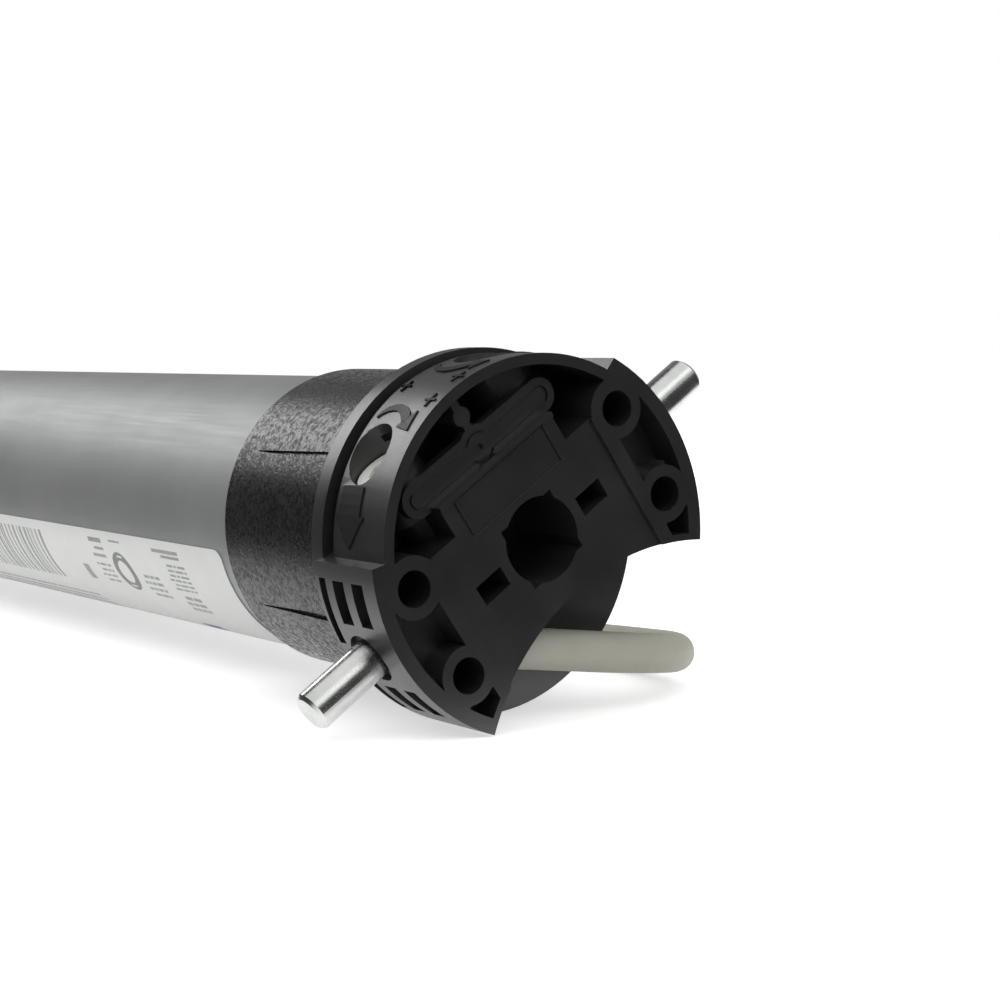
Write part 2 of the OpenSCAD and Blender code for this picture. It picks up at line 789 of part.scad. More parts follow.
module slot_marks(inset) for (i = [0:slots - 1]) rotate(360 * i / slots)
    translate([slot_in + inset, -stator_slot_w / 2 + inset]) square([slot_out - slot_in - 2 * inset,
        stator_slot_w - 2 * inset]);

module stator_core() color(steel) axial() slab(stator_front, stator_back) difference() {
    circle(r = lining_r);
    circle(r = stator_bore_r);
    slot_marks(0);
}

module stator_winding() color(copper) axial() {
    slab(stator_front - 3, stator_back + 3) slot_marks(seat_gap);
    for (at = [stator_front - winding_over + 2, stator_back + 2])
        tube(slot_out + 1.6, slot_in + 0.4, at, at + winding_over - 4);
}

module rotor_core() color("#77797b") axial() tube(rotor_r, shaft_r + 0.02, stator_front, stator_back);

module rotor_shaft() color(zinc) axial() {
    rod(shaft_r, front_shield_front - 3, start_1 - sun_lead);
    slab(start_1 - sun_lead - eps, disc_1 - sun_short)
        gear(sun_teeth, gear_module, backlash, 0.8, 1.1, 180 / sun_teeth);
}

module brake_magnet() color("#2d2f31") axial() {
    difference() {
        tube(magnet_r, shaft_r + shaft_gap, rear_shield_back + 0.05, magnet_back);
        tube(spring_r + spring_wire + 0.6, spring_r - spring_wire - 0.6, magnet_back - spring_pocket,
            magnet_back + 1);
    }
    for (side = [0, 180]) rotate([0, 0, side]) translate([guide_at, 0, 0])
        rod(guide_r, magnet_back - eps, plate_front - 0.2);
}

// A helix through the whole turns, one unbroken tube
module brake_spring() color(zinc) axial() {
    steps = spring_turns * spring_rings;
    from = magnet_back - spring_pocket + spring_wire / 2 + seat_gap;
    to = armature_front - spring_wire / 2 - seat_gap;
    sweep([for (i = [0:steps]) let (a = 360 * spring_turns * i / steps)
        [spring_r * cos(a), spring_r * sin(a), -from - (to - from) * i / steps]],
        spring_wire / 2, spring_sides);
}

function tube_faces(rings, sides) = [
    [for (k = [0:sides - 1]) k],
    for (i = [0:rings - 2], k = [0:sides - 1]) let (a = i * sides + k, b = i * sides + (k + 1) % sides)
        each [[a, a + sides, b], [b, a + sides, b + sides]],
    [for (k = [sides - 1:-1:0]) (rings - 1) * sides + k]];

module brake_armature() color(steel) axial() difference() {
    rod(magnet_r - 1, armature_front, armature_back);
    rod(shaft_r + shaft_gap, armature_front - 1, armature_back + 1);
    for (side = [0, 180]) rotate([0, 0, side]) translate([guide_at, 0, 0])
        rod(guide_r + run_gap, armature_front - 1, armature_back + 1);
}

module brake_disc() color("#4a3f38") axial() tube(brake_disc_r, shaft_r + 0.02, disc_front, disc_back);

module brake_plate() color(steel) axial() tube(lining_r, shaft_r + shaft_gap, plate_front, plate_back);

module ring_gear() color("#a8abad") axial() difference() {
    rod(lining_r, box_front + 0.05, ring_back);
    slab(box_front - 1, ring_back + 1) gear(ring_teeth, gear_module, -backlash, 1.1, 0.8);
}

module planet(start, width, place) color("#d9c27a") axial() rotate([0, 0, place * 360 / planets])
    translate([orbit_r, 0, 0]) difference() {
        slab(start, start + width) gear(planet_teeth, gear_module, backlash, 0.8, 1.1);
        rod(planet_pin_r + run_gap, start - 1, start + width + 1);
    }
module planet_1a() planet(start_1, width_1, 0);
module planet_1b() planet(start_1, width_1, 1);
module planet_1c() planet(start_1, width_1, 2);
module planet_2a() planet(start_2, width_2, 0);
module planet_2b() planet(start_2, width_2, 1);
module planet_2c() planet(start_2, width_2, 2);
module planet_3a() planet(start_3, width_3, 0);
module planet_3b() planet(start_3, width_3, 1);
module planet_3c() planet(start_3, width_3, 2);

module planet_pins(start, disc) for (i = [0:planets - 1]) rotate([0, 0, i * 360 / planets])
    translate([orbit_r, 0, 0]) rod(planet_pin_r, start + 0.3, disc + eps);

module carrier(start, disc, thick, sun_end) {
    planet_pins(start, disc);
    rod(carrier_r, disc, disc + thick);
    slab(disc + thick - eps, sun_end) gear(sun_teeth, gear_module, backlash, 0.8, 1.1, 180 / sun_teeth);
}
module carrier_1() color(steel) axial() carrier(start_1, disc_1, disc_1_t, disc_2 - sun_short);
module carrier_2() color(steel) axial() carrier(start_2, disc_2, disc_2_t, disc_3 - sun_short);

module output_shaft() color(zinc) axial() difference() {
    union() {
        planet_pins(start_3, disc_3);
        rod(carrier_r, disc_3, disc_3 + disc_3_t);
        rod(output_r, disc_3 + disc_3_t - eps, spigot_from);
        rod(spigot_r, spigot_from - eps, spigot_end);
    }
    both_sides() slab(spigot_from, spigot_end + 1) translate([spigot_r - flat_depth, -spigot_r])
        square([spigot_r, 2 * spigot_r]);
    tube(spigot_r + 1, spigot_r - snap_ring_in, wheel_groove, wheel_groove + wheel_groove_w);
    tube(output_r + 1, output_r - snap_ring_in, snap_ring_at, snap_ring_at + snap_ring_t + 2 * seat_gap);
}

module output_bush() color(brass) axial()
    tube(output_r + bush_wall, output_r + run_gap, ring_back + 1, tube_end + lip_t - 1);

module output_flange() color(black_plastic) axial() difference() {
    union() {
        rod(lining_r, ring_back + 0.1, tube_end);
        rod(tube_r, tube_end + 0.05, tube_end + lip_t);
        rod(lining_r - 1, tube_end - 1, tube_end + 1);
    }
    rod(output_r + bush_wall + seat_gap, ring_back, tube_end + lip_t + 1);
    for (i = [0:rivets - 1]) rotate([0, 0, 45 + i * 360 / rivets]) translate([0, 0, -rivet_station])
        rotate([0, 90, 0]) translate([0, 0, tube_bore_r - 4.1]) cylinder(r = rivet_r + seat_gap / 2, h = 6);
}

module output_snap_ring() color("#5f6366") axial() difference() {
    tube(output_r + snap_ring_out, output_r - snap_ring_in + seat_gap, snap_ring_at + seat_gap,
        snap_ring_at + seat_gap + snap_ring_t);
    slab(snap_ring_at, snap_ring_at + snap_ring_t + 1) translate([-2.5, 0]) square([5, 2 * output_r]);
}

// Mains lead
function unit(v) = v / norm(v);
function heading(p, i) = unit(p[min(i + 1, len(p) - 1)] - p[max(i - 1, 0)]);
function ring_at(c, d, r, sides) = let (side = unit(cross([0, 0, 1], d)), up = cross(d, side))
    [for (k = [0:sides - 1]) let (b = 360 * (k + 0.5) / sides) c + r * (cos(b) * side + sin(b) * up)];
module sweep(points, r, sides) polyhedron(
    points = [for (i = [0:len(points) - 1]) each ring_at(points[i], heading(points, i), r, sides)],
    faces = tube_faces(len(points), sides));

module lead_stretch() color("#e9e8e1") sweep(stretch_points, lead_d / 2, 10);
module lead_tail() color("#e9e8e1") sweep(tail_points, lead_d / 2, 10);

// The put away coil. Each layer winds in or out at a steady rate, then climbs in half a turn.
layer_span = coil_turns + 0.5;
coil_length_turns = coil_layers * layer_span - 0.5;
function layer_of(t) = min(floor(t / layer_span), coil_layers - 1);
function coil_radius(t) = let (n = layer_of(t), w = min(t - n * layer_span, coil_turns))
    n % 2 == 0 ? coil_out - w * coil_step : coil_out - (coil_turns - w) * coil_step;
function coil_height(t) = let (n = layer_of(t), w = max(t - n * layer_span - coil_turns, 0))
    coil_z + (n + min(w / 0.5, 1)) * coil_rise;
function coil_point(t) = [coil_x + coil_radius(t) * cos(-90 - 360 * t),
    coil_y + coil_radius(t) * sin(-90 - 360 * t), coil_height(t)];
coil_steps = round(coil_length_turns * coil_rings);
coil_path = [
    [coil_x + 7, entry_y, coil_z],
    for (i = [0:coil_steps]) coil_point(i * coil_length_turns / coil_steps),
    [coil_x - 7, entry_y, coil_top]];
module lead_coil() color("#e9e8e1") sweep(coil_path, lead_d / 2, coil_sides);

function path_length(p) = len(p) < 2 ? 0 : [for (i = 0, s = 0; i < len(p); s = s + (i + 1 < len(p) ?
    norm(p[i + 1] - p[i]) : 0), i = i + 1) s][len(p) - 1];
near_turn = 12;
coil_gap = min([for (i = [0:len(coil_path) - 1], j = [i + near_turn:1:len(coil_path) - 1])
    norm(coil_path[i] - coil_path[j])]) - lead_d;
echo(coil_gap = coil_gap, coil_in = coil_in, coil_out = coil_out, turns = coil_length_turns);
echo(stretch = path_length(stretch_points), coil = path_length(coil_path), tail = path_length(tail_points));

tail_end = tail_points[len(tail_points) - 1];
module lead_cores() for (k = [0:3]) translate(tail_end + [-core_len, 0, 0])
    rotate([45 + 90 * k, 0, 0]) translate([0, core_pitch, 0]) rotate([0, 90, 0]) {
        color(["#6b4a2f", "#2f6fb5", "#1d1d1d", "#4f9a3c"][k]) translate([0, 0, ferrule_len])
            cylinder(r = core_r, h = core_len - ferrule_len);
        color(zinc) cylinder(r = ferrule_r, h = ferrule_len + eps);
    }

module tie_outline(room) {
    half = (coil_out - coil_in + lead_d) / 2 + room;
    low = coil_bottom - room;
    translate([-half, low]) square([2 * half, coil_top + lead_d / 2 + room - low]);
}

module coil_ties() color("#2b2b2c") for (side = [45, 225]) translate([coil_x, coil_y, 0]) rotate([0, 0, side])
    translate([(coil_in + coil_out) / 2, 0, 0]) rotate([90, 0, 0]) linear_extrude(tie_w, center = true)
        difference() {
            tie_outline(tie_room + tie_t);
            tie_outline(tie_room);
        }

head_body();
side_pin_left();
side_pin_right();
adjuster_left();
adjuster_right();
cable_gland();
crown_ring();
neck_clamp_ring();
limit_frame();
crown_pinion();
idler_gear();
limit_wheel_up();
limit_wheel_down();
microswitch_up();
microswitch_down();
switch_button_up();
switch_button_down();
terminal_block();
inner_leads();
motor_tube();
rating_label();
tube_rivets();
capacitor();
capacitor_sleeve();
front_shield();
front_bush();
stator_core();
stator_winding();
rotor_core();
rotor_shaft();
rear_shield();
rear_bush();
brake_magnet();
brake_spring();
brake_armature();
brake_disc();
brake_plate();
ring_gear();
planet_1a();
planet_1b();
planet_1c();
carrier_1();
planet_2a();
planet_2b();
planet_2c();
carrier_2();
planet_3a();
planet_3b();
planet_3c();
output_shaft();
output_bush();
output_flange();
output_snap_ring();
lead_stretch();
lead_coil();
lead_tail();
lead_cores();
coil_ties();
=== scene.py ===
import json
import math

import bmesh
import bpy
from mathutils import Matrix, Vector
from mathutils.geometry import convex_hull_2d


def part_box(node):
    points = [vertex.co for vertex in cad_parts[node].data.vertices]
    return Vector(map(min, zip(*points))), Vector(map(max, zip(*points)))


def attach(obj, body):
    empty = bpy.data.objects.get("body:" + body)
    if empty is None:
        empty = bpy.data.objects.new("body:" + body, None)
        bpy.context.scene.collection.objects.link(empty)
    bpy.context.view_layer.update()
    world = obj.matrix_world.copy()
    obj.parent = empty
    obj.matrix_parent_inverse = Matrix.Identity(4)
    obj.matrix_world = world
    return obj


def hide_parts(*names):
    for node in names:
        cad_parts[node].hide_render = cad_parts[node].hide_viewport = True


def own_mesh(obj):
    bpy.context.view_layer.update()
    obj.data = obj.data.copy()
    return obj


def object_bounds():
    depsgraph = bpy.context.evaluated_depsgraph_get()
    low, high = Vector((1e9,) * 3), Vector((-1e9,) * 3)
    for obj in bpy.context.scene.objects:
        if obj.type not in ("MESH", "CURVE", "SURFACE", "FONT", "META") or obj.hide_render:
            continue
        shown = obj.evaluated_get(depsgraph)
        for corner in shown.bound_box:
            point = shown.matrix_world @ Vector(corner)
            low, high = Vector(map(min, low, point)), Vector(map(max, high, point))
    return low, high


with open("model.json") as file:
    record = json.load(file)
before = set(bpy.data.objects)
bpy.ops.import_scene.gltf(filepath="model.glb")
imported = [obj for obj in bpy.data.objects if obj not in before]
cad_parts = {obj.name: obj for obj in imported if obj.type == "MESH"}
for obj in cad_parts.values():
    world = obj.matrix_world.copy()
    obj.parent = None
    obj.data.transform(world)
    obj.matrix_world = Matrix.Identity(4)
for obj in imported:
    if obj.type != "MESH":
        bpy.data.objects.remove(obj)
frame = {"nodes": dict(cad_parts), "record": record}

for spare in ("Cube", "Camera", "Light"):
    if spare in bpy.data.objects:
        bpy.data.objects.remove(bpy.data.objects[spare])
cad_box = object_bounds()

MM = 0.001
NODES = frame["nodes"]
MOUNTS = {m["name"]: m for m in frame["record"]["mounts"]}

# The side pins' line is the first axis of the motor's cross-section, and it is rolled about X
PIN_LINE = Vector(MOUNTS["side_pin_right_end"]["axis"])
ROLL = math.atan2(PIN_LINE.z, PIN_LINE.y)


def on_motor(x, radius, angle):
    """A point at station x along the axis, in millimetres, and a bearing in degrees from the pin line."""
    turn = math.radians(angle) + ROLL
    return Vector((x, radius * math.cos(turn), radius * math.sin(turn))) * MM


# ---------------------------------------------------------------- camera
LENS, SENSOR = 77.355, 36.0
AZIMUTH, ELEVATION = math.radians(56.061), math.radians(3.889)
CAMERA_AT = Vector((246.852, -173.649, 26.117)) * MM
CLIP_START = 0.01


def make_camera():
    data = bpy.data.cameras.new("camera")
    data.lens, data.sensor_width, data.clip_start = LENS, SENSOR, CLIP_START
    camera = bpy.data.objects.new("camera", data)
    camera.location = CAMERA_AT
    camera.rotation_euler = (math.pi / 2 - ELEVATION, 0, AZIMUTH)
    bpy.context.scene.collection.objects.link(camera)
    bpy.context.scene.camera = camera


make_camera()


# ---------------------------------------------------------------- materials
class Finish:
    """A material built on the Principled shader, with its textures in the object's own metres."""

    def __init__(self, name, metallic=0.0, specular=0.5, coat=0.0, coat_roughness=0.1):
        self.material = bpy.data.materials.new(name)
        self.material.use_nodes = True
        self.tree = self.material.node_tree
        self.shader = self.tree.nodes["Principled BSDF"]
        self.place = self.tree.nodes.new("ShaderNodeTexCoord").outputs["Object"]
        self.shader.inputs["Metallic"].default_value = metallic
        self.shader.inputs["Specular IOR Level"].default_value = specular
        self.shader.inputs["Coat Weight"].default_value = coat
        self.shader.inputs["Coat Roughness"].default_value = coat_roughness

    def node(self, kind, **inputs):
        node = self.tree.nodes.new(kind)
        for name, value in inputs.items():
            self.feed(value, node.inputs[name])
        return node

    def feed(self, value, socket):
        if isinstance(value, bpy.types.NodeSocket):
            self.tree.links.new(value, socket)
        else:
            socket.default_value = value

    def stretched(self, scale):
        """Coordinates scaled along each axis, so that a texture draws out along the axes of small scale."""
        mapping = self.node("ShaderNodeMapping", Vector=self.place)
        mapping.inputs["Scale"].default_value = scale
        return mapping.outputs["Vector"]

    def noise(self, size, detail=3.0, roughness=0.5, place=None):
        """Noise whose features are about size millimetres across."""
        node = self.node("ShaderNodeTexNoise", Vector=place or self.place, Scale=1 / (size * MM),
                         Detail=detail, Roughness=roughness)
        return node.outputs["Fac"]

    def cells(self, size):
        """The distance to the nearest of points that are about size millimetres apart."""
        node = self.node("ShaderNodeTexVoronoi", Vector=self.place, Scale=1 / (size * MM))
        return node.outputs["Distance"]

    def spread(self, fac, low=0.0, high=1.0, start=0.3, end=0.7):
        """fac between start and end becomes a value between low and high."""
        node = self.tree.nodes.new("ShaderNodeMapRange")
        for index, value in enumerate((fac, start, end, low, high)):
            self.feed(value, node.inputs[index])
        return node.outputs["Result"]

    def math(self, operation, first, second=0.0, third=0.0):
        node = self.tree.nodes.new("ShaderNodeMath")
        node.operation = operation
        for index, value in enumerate((first, second, third)):
            self.feed(value, node.inputs[index])
        return node.outputs["Value"]

    def blend(self, fac, first, second):
        """A colour between two others."""
        node = self.tree.nodes.new("ShaderNodeMix")
        node.data_type = "RGBA"
        for index, value in ((0, fac), (6, first), (7, second)):
            self.feed(value if isinstance(value, bpy.types.NodeSocket) or index == 0 else (*value, 1.0),
                      node.inputs[index])
        return node.outputs[2]

    def colour(self, value):
        self.feed(value, self.shader.inputs["Base Color"])

    def mottle(self, fac, dark, light):
        """The surface's colour wanders between two shades."""
        self.colour(self.blend(self.spread(fac), dark, light))

    def rough(self, value):
        self.feed(value, self.shader.inputs["Roughness"])

    def bump(self, *layers):
        """Each layer is a height texture and its height in millimetres."""
        normal = None
        for height, depth in layers:
            node = self.node("ShaderNodeBump", Height=height, Distance=depth * MM, Strength=1.0)
            if normal:
                self.feed(normal, node.inputs["Normal"])
            normal = node.outputs["Normal"]
        self.feed(normal, self.shader.inputs["Normal"])


def moulded(name, dark, light, rough=(0.4, 0.55), grain=0.35, depth=0.008, specular=0.5, ior=1.5):
    """Moulded plastic: a fine grain, with slow changes of shade and gloss."""
    finish = Finish(name, specular=specular)
    finish.shader.inputs["IOR"].default_value = ior
    slow, fine = finish.noise(9.0, 4.0), finish.noise(grain, 2.0)
    finish.mottle(slow, dark, light)
    finish.rough(finish.spread(finish.math("ADD", slow, fine), *rough, 0.7, 1.3))
    finish.bump((fine, depth), (finish.noise(4.0, 3.0), depth))
    return finish.material


def machined(name, dark, light, rough=(0.22, 0.4), stretch=(1, 1, 1), depth=0.006, line=0.25):
    """Bare or plated metal with tool marks drawn out along the axes of small stretch."""
    finish = Finish(name, metallic=1.0)
    marks = finish.noise(line, 4.0, 0.6, finish.stretched(stretch))
    stain = finish.noise(5.0, 5.0, 0.65)
    finish.mottle(stain, dark, light)
    finish.rough(finish.spread(finish.math("ADD", marks, stain), *rough, 0.75, 1.25))
    finish.bump((marks, depth))
    return finish.material


def crown_plastic():
    """Glossy speckled nylon, which breaks a softbox into sparks."""
    finish = Finish("crown_speckled_nylon", specular=0.38, coat=0.06, coat_roughness=0.2)
    slow, blotch, speck = finish.noise(8.0, 4.0), finish.noise(0.85, 5.0, 0.8), finish.noise(0.4, 1.0)
    finish.mottle(slow, (0.006, 0.006, 0.007), (0.012, 0.012, 0.013))
    finish.rough(finish.spread(blotch, 0.06, 0.56, 0.41, 0.59))
    finish.bump((speck, 0.05), (blotch, 0.025), (finish.noise(6.0, 2.0), 0.04))
    return finish.material


def tube_metal():
    """Satin grey coated tube, with faint draw lines along it."""
    finish = Finish("tube_satin_grey", metallic=0.5)
    slow = finish.noise(14.0, 3.0)
    fine = finish.noise(0.22, 2.0, 0.6)
    drawn = finish.noise(0.6, 3.0, 0.6, finish.stretched((0.03, 1, 1)))
    finish.mottle(slow, (0.30, 0.31, 0.305), (0.34, 0.35, 0.345))
    finish.rough(finish.spread(finish.math("ADD", fine, drawn), 0.42, 0.56, 0.7, 1.3))
    finish.bump((fine, 0.006), (drawn, 0.003))
    return finish.material


def label_film():
    """White film with a thin varnish."""
    finish = Finish("label_film", coat=0.3, coat_roughness=0.25)
    finish.mottle(finish.noise(12.0), (0.74, 0.755, 0.735), (0.79, 0.80, 0.785))
    finish.rough(finish.spread(finish.noise(0.8, 2.0), 0.38, 0.5))
    finish.bump((finish.noise(3.0, 2.0), 0.01), (finish.noise(0.3, 1.0), 0.002))
    return finish.material


def ink(name, dark, light):
    """Print that covers the film unevenly."""
    finish = Finish(name)
    finish.mottle(finish.noise(0.4, 2.0), dark, light)
    finish.rough(finish.spread(finish.noise(1.0), 0.4, 0.55))
    return finish.material


def lead_sheath():
    """Soft off-white sheath with a few scuffs."""
    finish = Finish("lead_sheath", specular=0.45)
    slow, fine = finish.noise(11.0, 4.0), finish.noise(0.6, 2.0)
    scuff = finish.spread(finish.noise(2.5, 5.0, 0.75), start=0.6, end=0.75)
    clean = finish.blend(finish.spread(slow), (0.42, 0.41, 0.34), (0.475, 0.465, 0.395))
    finish.colour(finish.blend(finish.math("MULTIPLY", scuff, 0.35), clean, (0.34, 0.325, 0.275)))
    finish.rough(finish.spread(fine, 0.42, 0.6))
    finish.bump((fine, 0.012), (finish.noise(7.0, 2.0), 0.06))
    return finish.material


def winding():
    """Varnished copper wire, in strands along the motor."""
    finish = Finish("varnished_copper", metallic=0.9, coat=0.4, coat_roughness=0.2)
    strand = finish.noise(0.7, 2.0, 0.5, finish.stretched((1, 0.25, 0.25)))
    finish.mottle(strand, (0.36, 0.12, 0.04), (0.62, 0.26, 0.10))
    finish.rough(finish.spread(strand, 0.25, 0.45))
    finish.bump((strand, 0.15))
    return finish.material


def rubber(name, dark, light, pore=0.8, depth=0.06):
    """A dull surface with open pores."""
    finish = Finish(name, specular=0.3)
    pores = finish.cells(pore)
    finish.mottle(finish.noise(6.0), dark, light)
    finish.rough(finish.spread(pores, 0.7, 0.9, 0.1, 0.6))
    finish.bump((pores, depth))
    return finish.material


# Scales that draw a texture out along the motor's line, or round it
ALONG, AROUND = (0.04, 1, 1), (1, 0.05, 0.05)
SLOT_FINISH = {
    "head_black": moulded("head_textured_black", (0.010, 0.010, 0.0105), (0.015, 0.015, 0.0155),
                          rough=(0.3, 0.42), grain=0.3, depth=0.006, specular=0.9, ior=1.65),
    "crown_black": crown_plastic(),
    "nylon_black": moulded("nylon_black", (0.012, 0.012, 0.013), (0.018, 0.018, 0.02), rough=(0.35, 0.5)),
    "zinc_steel": machined("zinc_plated_steel", (0.54, 0.555, 0.54), (0.74, 0.75, 0.73),
                           rough=(0.16, 0.32), stretch=ALONG),
    "white_plastic": moulded("white_acetal", (0.72, 0.72, 0.69), (0.80, 0.80, 0.77), rough=(0.3, 0.42)),
    "red_plastic": moulded("red_acetal", (0.34, 0.035, 0.025), (0.42, 0.05, 0.035), rough=(0.3, 0.42)),
    "blue_plastic": moulded("blue_acetal", (0.03, 0.10, 0.30), (0.04, 0.13, 0.36), rough=(0.3, 0.42)),
    "switch_black": moulded("switch_black", (0.015, 0.015, 0.017), (0.022, 0.022, 0.024), rough=(0.4, 0.5)),
    "tube_steel": tube_metal(),
    "label_white": label_film(),
    "plain_steel": machined("plain_steel", (0.36, 0.37, 0.38), (0.48, 0.49, 0.50),
                            rough=(0.28, 0.45), stretch=AROUND),
    "capacitor_can": machined("capacitor_can", (0.62, 0.63, 0.64), (0.72, 0.73, 0.74),
                              rough=(0.25, 0.4), stretch=ALONG),
    "black_rubber": rubber("foam_rubber", (0.018, 0.018, 0.018), (0.03, 0.03, 0.03)),
    "cast_shield": machined("die_cast", (0.42, 0.43, 0.44), (0.55, 0.56, 0.57),
                            rough=(0.45, 0.6), depth=0.03, line=0.6),
    "bronze": machined("sintered_bronze", (0.42, 0.24, 0.09), (0.55, 0.33, 0.13),
                       rough=(0.4, 0.55), depth=0.015),
    "copper_wire": winding(),
    "magnet_black": moulded("magnet_black", (0.02, 0.022, 0.024), (0.035, 0.037, 0.04),
                            rough=(0.35, 0.5), grain=0.6, depth=0.02),
    "friction_lining": rubber("friction_lining", (0.05, 0.038, 0.028), (0.08, 0.06, 0.045),
                              pore=0.5, depth=0.03),
    "gear_plastic": moulded("filled_nylon", (0.52, 0.40, 0.16), (0.60, 0.48, 0.21), grain=0.5, depth=0.012),
    "lead_white": lead_sheath(),
    "core_insulation": moulded("core_sleeves", (0.03, 0.03, 0.032), (0.05, 0.05, 0.052), rough=(0.35, 0.45)),
    "tie_black": moulded("tie_nylon", (0.016, 0.016, 0.017), (0.024, 0.024, 0.026), rough=(0.3, 0.42)),
}


def dress_nodes():
    """Each CAD node gets the material of its slot in the record."""
    slot_of = {part["node"]: part["material_slot"] for part in frame["record"]["subparts"]}
    for name, node in NODES.items():
        node.data.materials.clear()
        node.data.materials.append(SLOT_FINISH[slot_of[name]])


dress_nodes()


# ---------------------------------------------------------------- pieces
def add_piece(name, shape, slot, material=None):
    """A fixed piece, in its slot's material unless it has one of its own."""
    piece = bpy.data.objects.new(name, shape)
    shape.materials.append(material or SLOT_FINISH[slot])
    bpy.context.scene.collection.objects.link(piece)
    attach(piece, "root")
    return piece


def finished_mesh(name, shape):
    """The shape's mesh, with its faces turned outwards."""
    bmesh.ops.recalc_face_normals(shape, faces=shape.faces)
    mesh = bpy.data.meshes.new(name)
    shape.to_mesh(mesh)
    shape.free()
    return mesh


def skin(shape, rings, smooth=False):
    """Joins each ring of points to the next one."""
    for first, second in zip(rings, rings[1:]):
        for k in range(len(first)):
            after = (k + 1) % len(first)
            shape.faces.new((first[k], first[after], second[after], second[k])).smooth = smooth


def cap(shape, rings):
    """Closes the first and the last ring."""
    shape.faces.new(rings[0][::-1])
    shape.faces.new(rings[-1])


def curve_of(name, points, radius, resolution):
    """A round cord along points, in metres, as one open spline."""
    curve = bpy.data.curves.new(name, "CURVE")
    curve.dimensions = "3D"
    curve.bevel_depth, curve.bevel_resolution = radius, resolution
    curve.use_fill_caps = True
    spline = curve.splines.new("POLY")
    spline.points.add(len(points) - 1)
    for target, point in zip(spline.points, points):
        target.co = (*point, 1.0)
    spline.use_smooth = True
    return curve


def smooth_path(points, step):
    """A Catmull-Rom curve through points, cut into stretches of about step."""
    ends = [2 * points[0] - points[1]] + points + [2 * points[-1] - points[-2]]
    path = [points[0]]
    for before, start, end, after in zip(ends, ends[1:], ends[2:], ends[3:]):
        cuts = max(1, round((end - start).length / step))
        for cut in range(1, cuts + 1):
            t = cut / cuts
            path.append(0.5 * (2 * start + (end - before) * t
                               + (2 * before - 5 * start + 4 * end - after) * t ** 2
                               + (3 * start - 3 * end + after - before) * t ** 3))
    return path


# ---------------------------------------------------------------- mains lead
LEAD_D, LEAD_STEP = 0.0062, 0.0025
LEAD_EXIT = (-0.009, -0.0027, -0.0161)
LEAD_STRETCH = [
    LEAD_EXIT, (-0.009, 0.004, -0.0168), (-0.009, 0.011, -0.0176), (-0.009, 0.018, -0.0184),
    (-0.010, 0.025, -0.0192), (-0.013, 0.032, -0.0201), (-0.018, 0.038, -0.021),
    (-0.025, 0.0425, -0.0218), (-0.033, 0.0445, -0.0224), (-0.042, 0.0446, -0.0228),
    (-0.052, 0.0436, -0.0231), (-0.064, 0.0416, -0.0233), (-0.078, 0.039, -0.0233),
    (-0.094, 0.0364, -0.0231), (-0.112, 0.0342, -0.0229), (-0.130, 0.0329, -0.0227),
    (-0.146, 0.0325, -0.0226), (-0.156, 0.0325, -0.0226), (-0.163, 0.0325, -0.0226),
    (-0.170, 0.0325, -0.0226)]
LEAD_TAIL = [
    (-0.184, 0.0325, -0.0025), (-0.191, 0.0325, -0.0025), (-0.199, 0.0324, -0.0036), (-0.209, 0.032, -0.006),
    (-0.220, 0.0316, -0.0098), (-0.231, 0.0312, -0.014), (-0.242, 0.031, -0.0178), (-0.253, 0.031, -0.0208),
    (-0.264, 0.031, -0.0228), (-0.275, 0.031, -0.0237), (-0.287, 0.031, -0.0239), (-0.293, 0.031, -0.0239)]
# The station of the coil's middle, and the place and bearing where the lead enters it
COIL_X, ENTRY_Y, ENTRY_BEARING = -0.177, 0.0325, -90
# The innermost turn's radius, and the turns' pitch outwards and upwards
COIL_IN, COIL_STEP, COIL_RISE = 0.027, 0.0078, 0.0067
# Turns in a layer and in a climb, the layers, and the points in a turn
COIL_TURNS, CLIMB, COIL_LAYERS, COIL_RINGS = 2.125, 0.5, 4, 24
COIL_OUT = COIL_IN + COIL_TURNS * COIL_STEP
COIL_Y, COIL_Z = ENTRY_Y + COIL_OUT, -0.0226
LAYER_SPAN = COIL_TURNS + CLIMB


def coil_point(turn):
    """Each layer winds in or out at a steady rate, then climbs in half a turn."""
    layer = min(int(turn / LAYER_SPAN), COIL_LAYERS - 1)
    wound = min(turn - layer * LAYER_SPAN, COIL_TURNS)
    climb = max(turn - layer * LAYER_SPAN - COIL_TURNS, 0)
    radius = COIL_OUT - COIL_STEP * (wound if layer % 2 == 0 else COIL_TURNS - wound)
    around = math.radians(ENTRY_BEARING - 360 * turn)
    return Vector((COIL_X + radius * math.cos(around), COIL_Y + radius * math.sin(around),
                   COIL_Z + (layer + min(climb / CLIMB, 1)) * COIL_RISE))


def lead_route():
    """From the gland to the coil, through its layers and on to the bare end."""
    turns = COIL_LAYERS * LAYER_SPAN - CLIMB
    steps = round(turns * COIL_RINGS)
    coil = [coil_point(i * turns / steps) for i in range(steps + 1)]
    stretch, tail = [Vector(p) for p in LEAD_STRETCH], [Vector(p) for p in LEAD_TAIL]
    return smooth_path(stretch + coil + tail, LEAD_STEP)


CORE_LEN, CORE_R, CORE_PITCH, CORE_STEPS = 0.045, 0.0011, 0.0016, 14
# How far the cores start inside the sheath, how close they lie there, and how soon they spread
CORE_HIDDEN, CORE_CLOSE, CORE_HASTE = 0.004, 0.82, 1.4
FERRULE_LEN, FERRULE_R, COLLAR_LEN, FERRULE_SIDES = 0.008, 0.00075, 0.003, 20
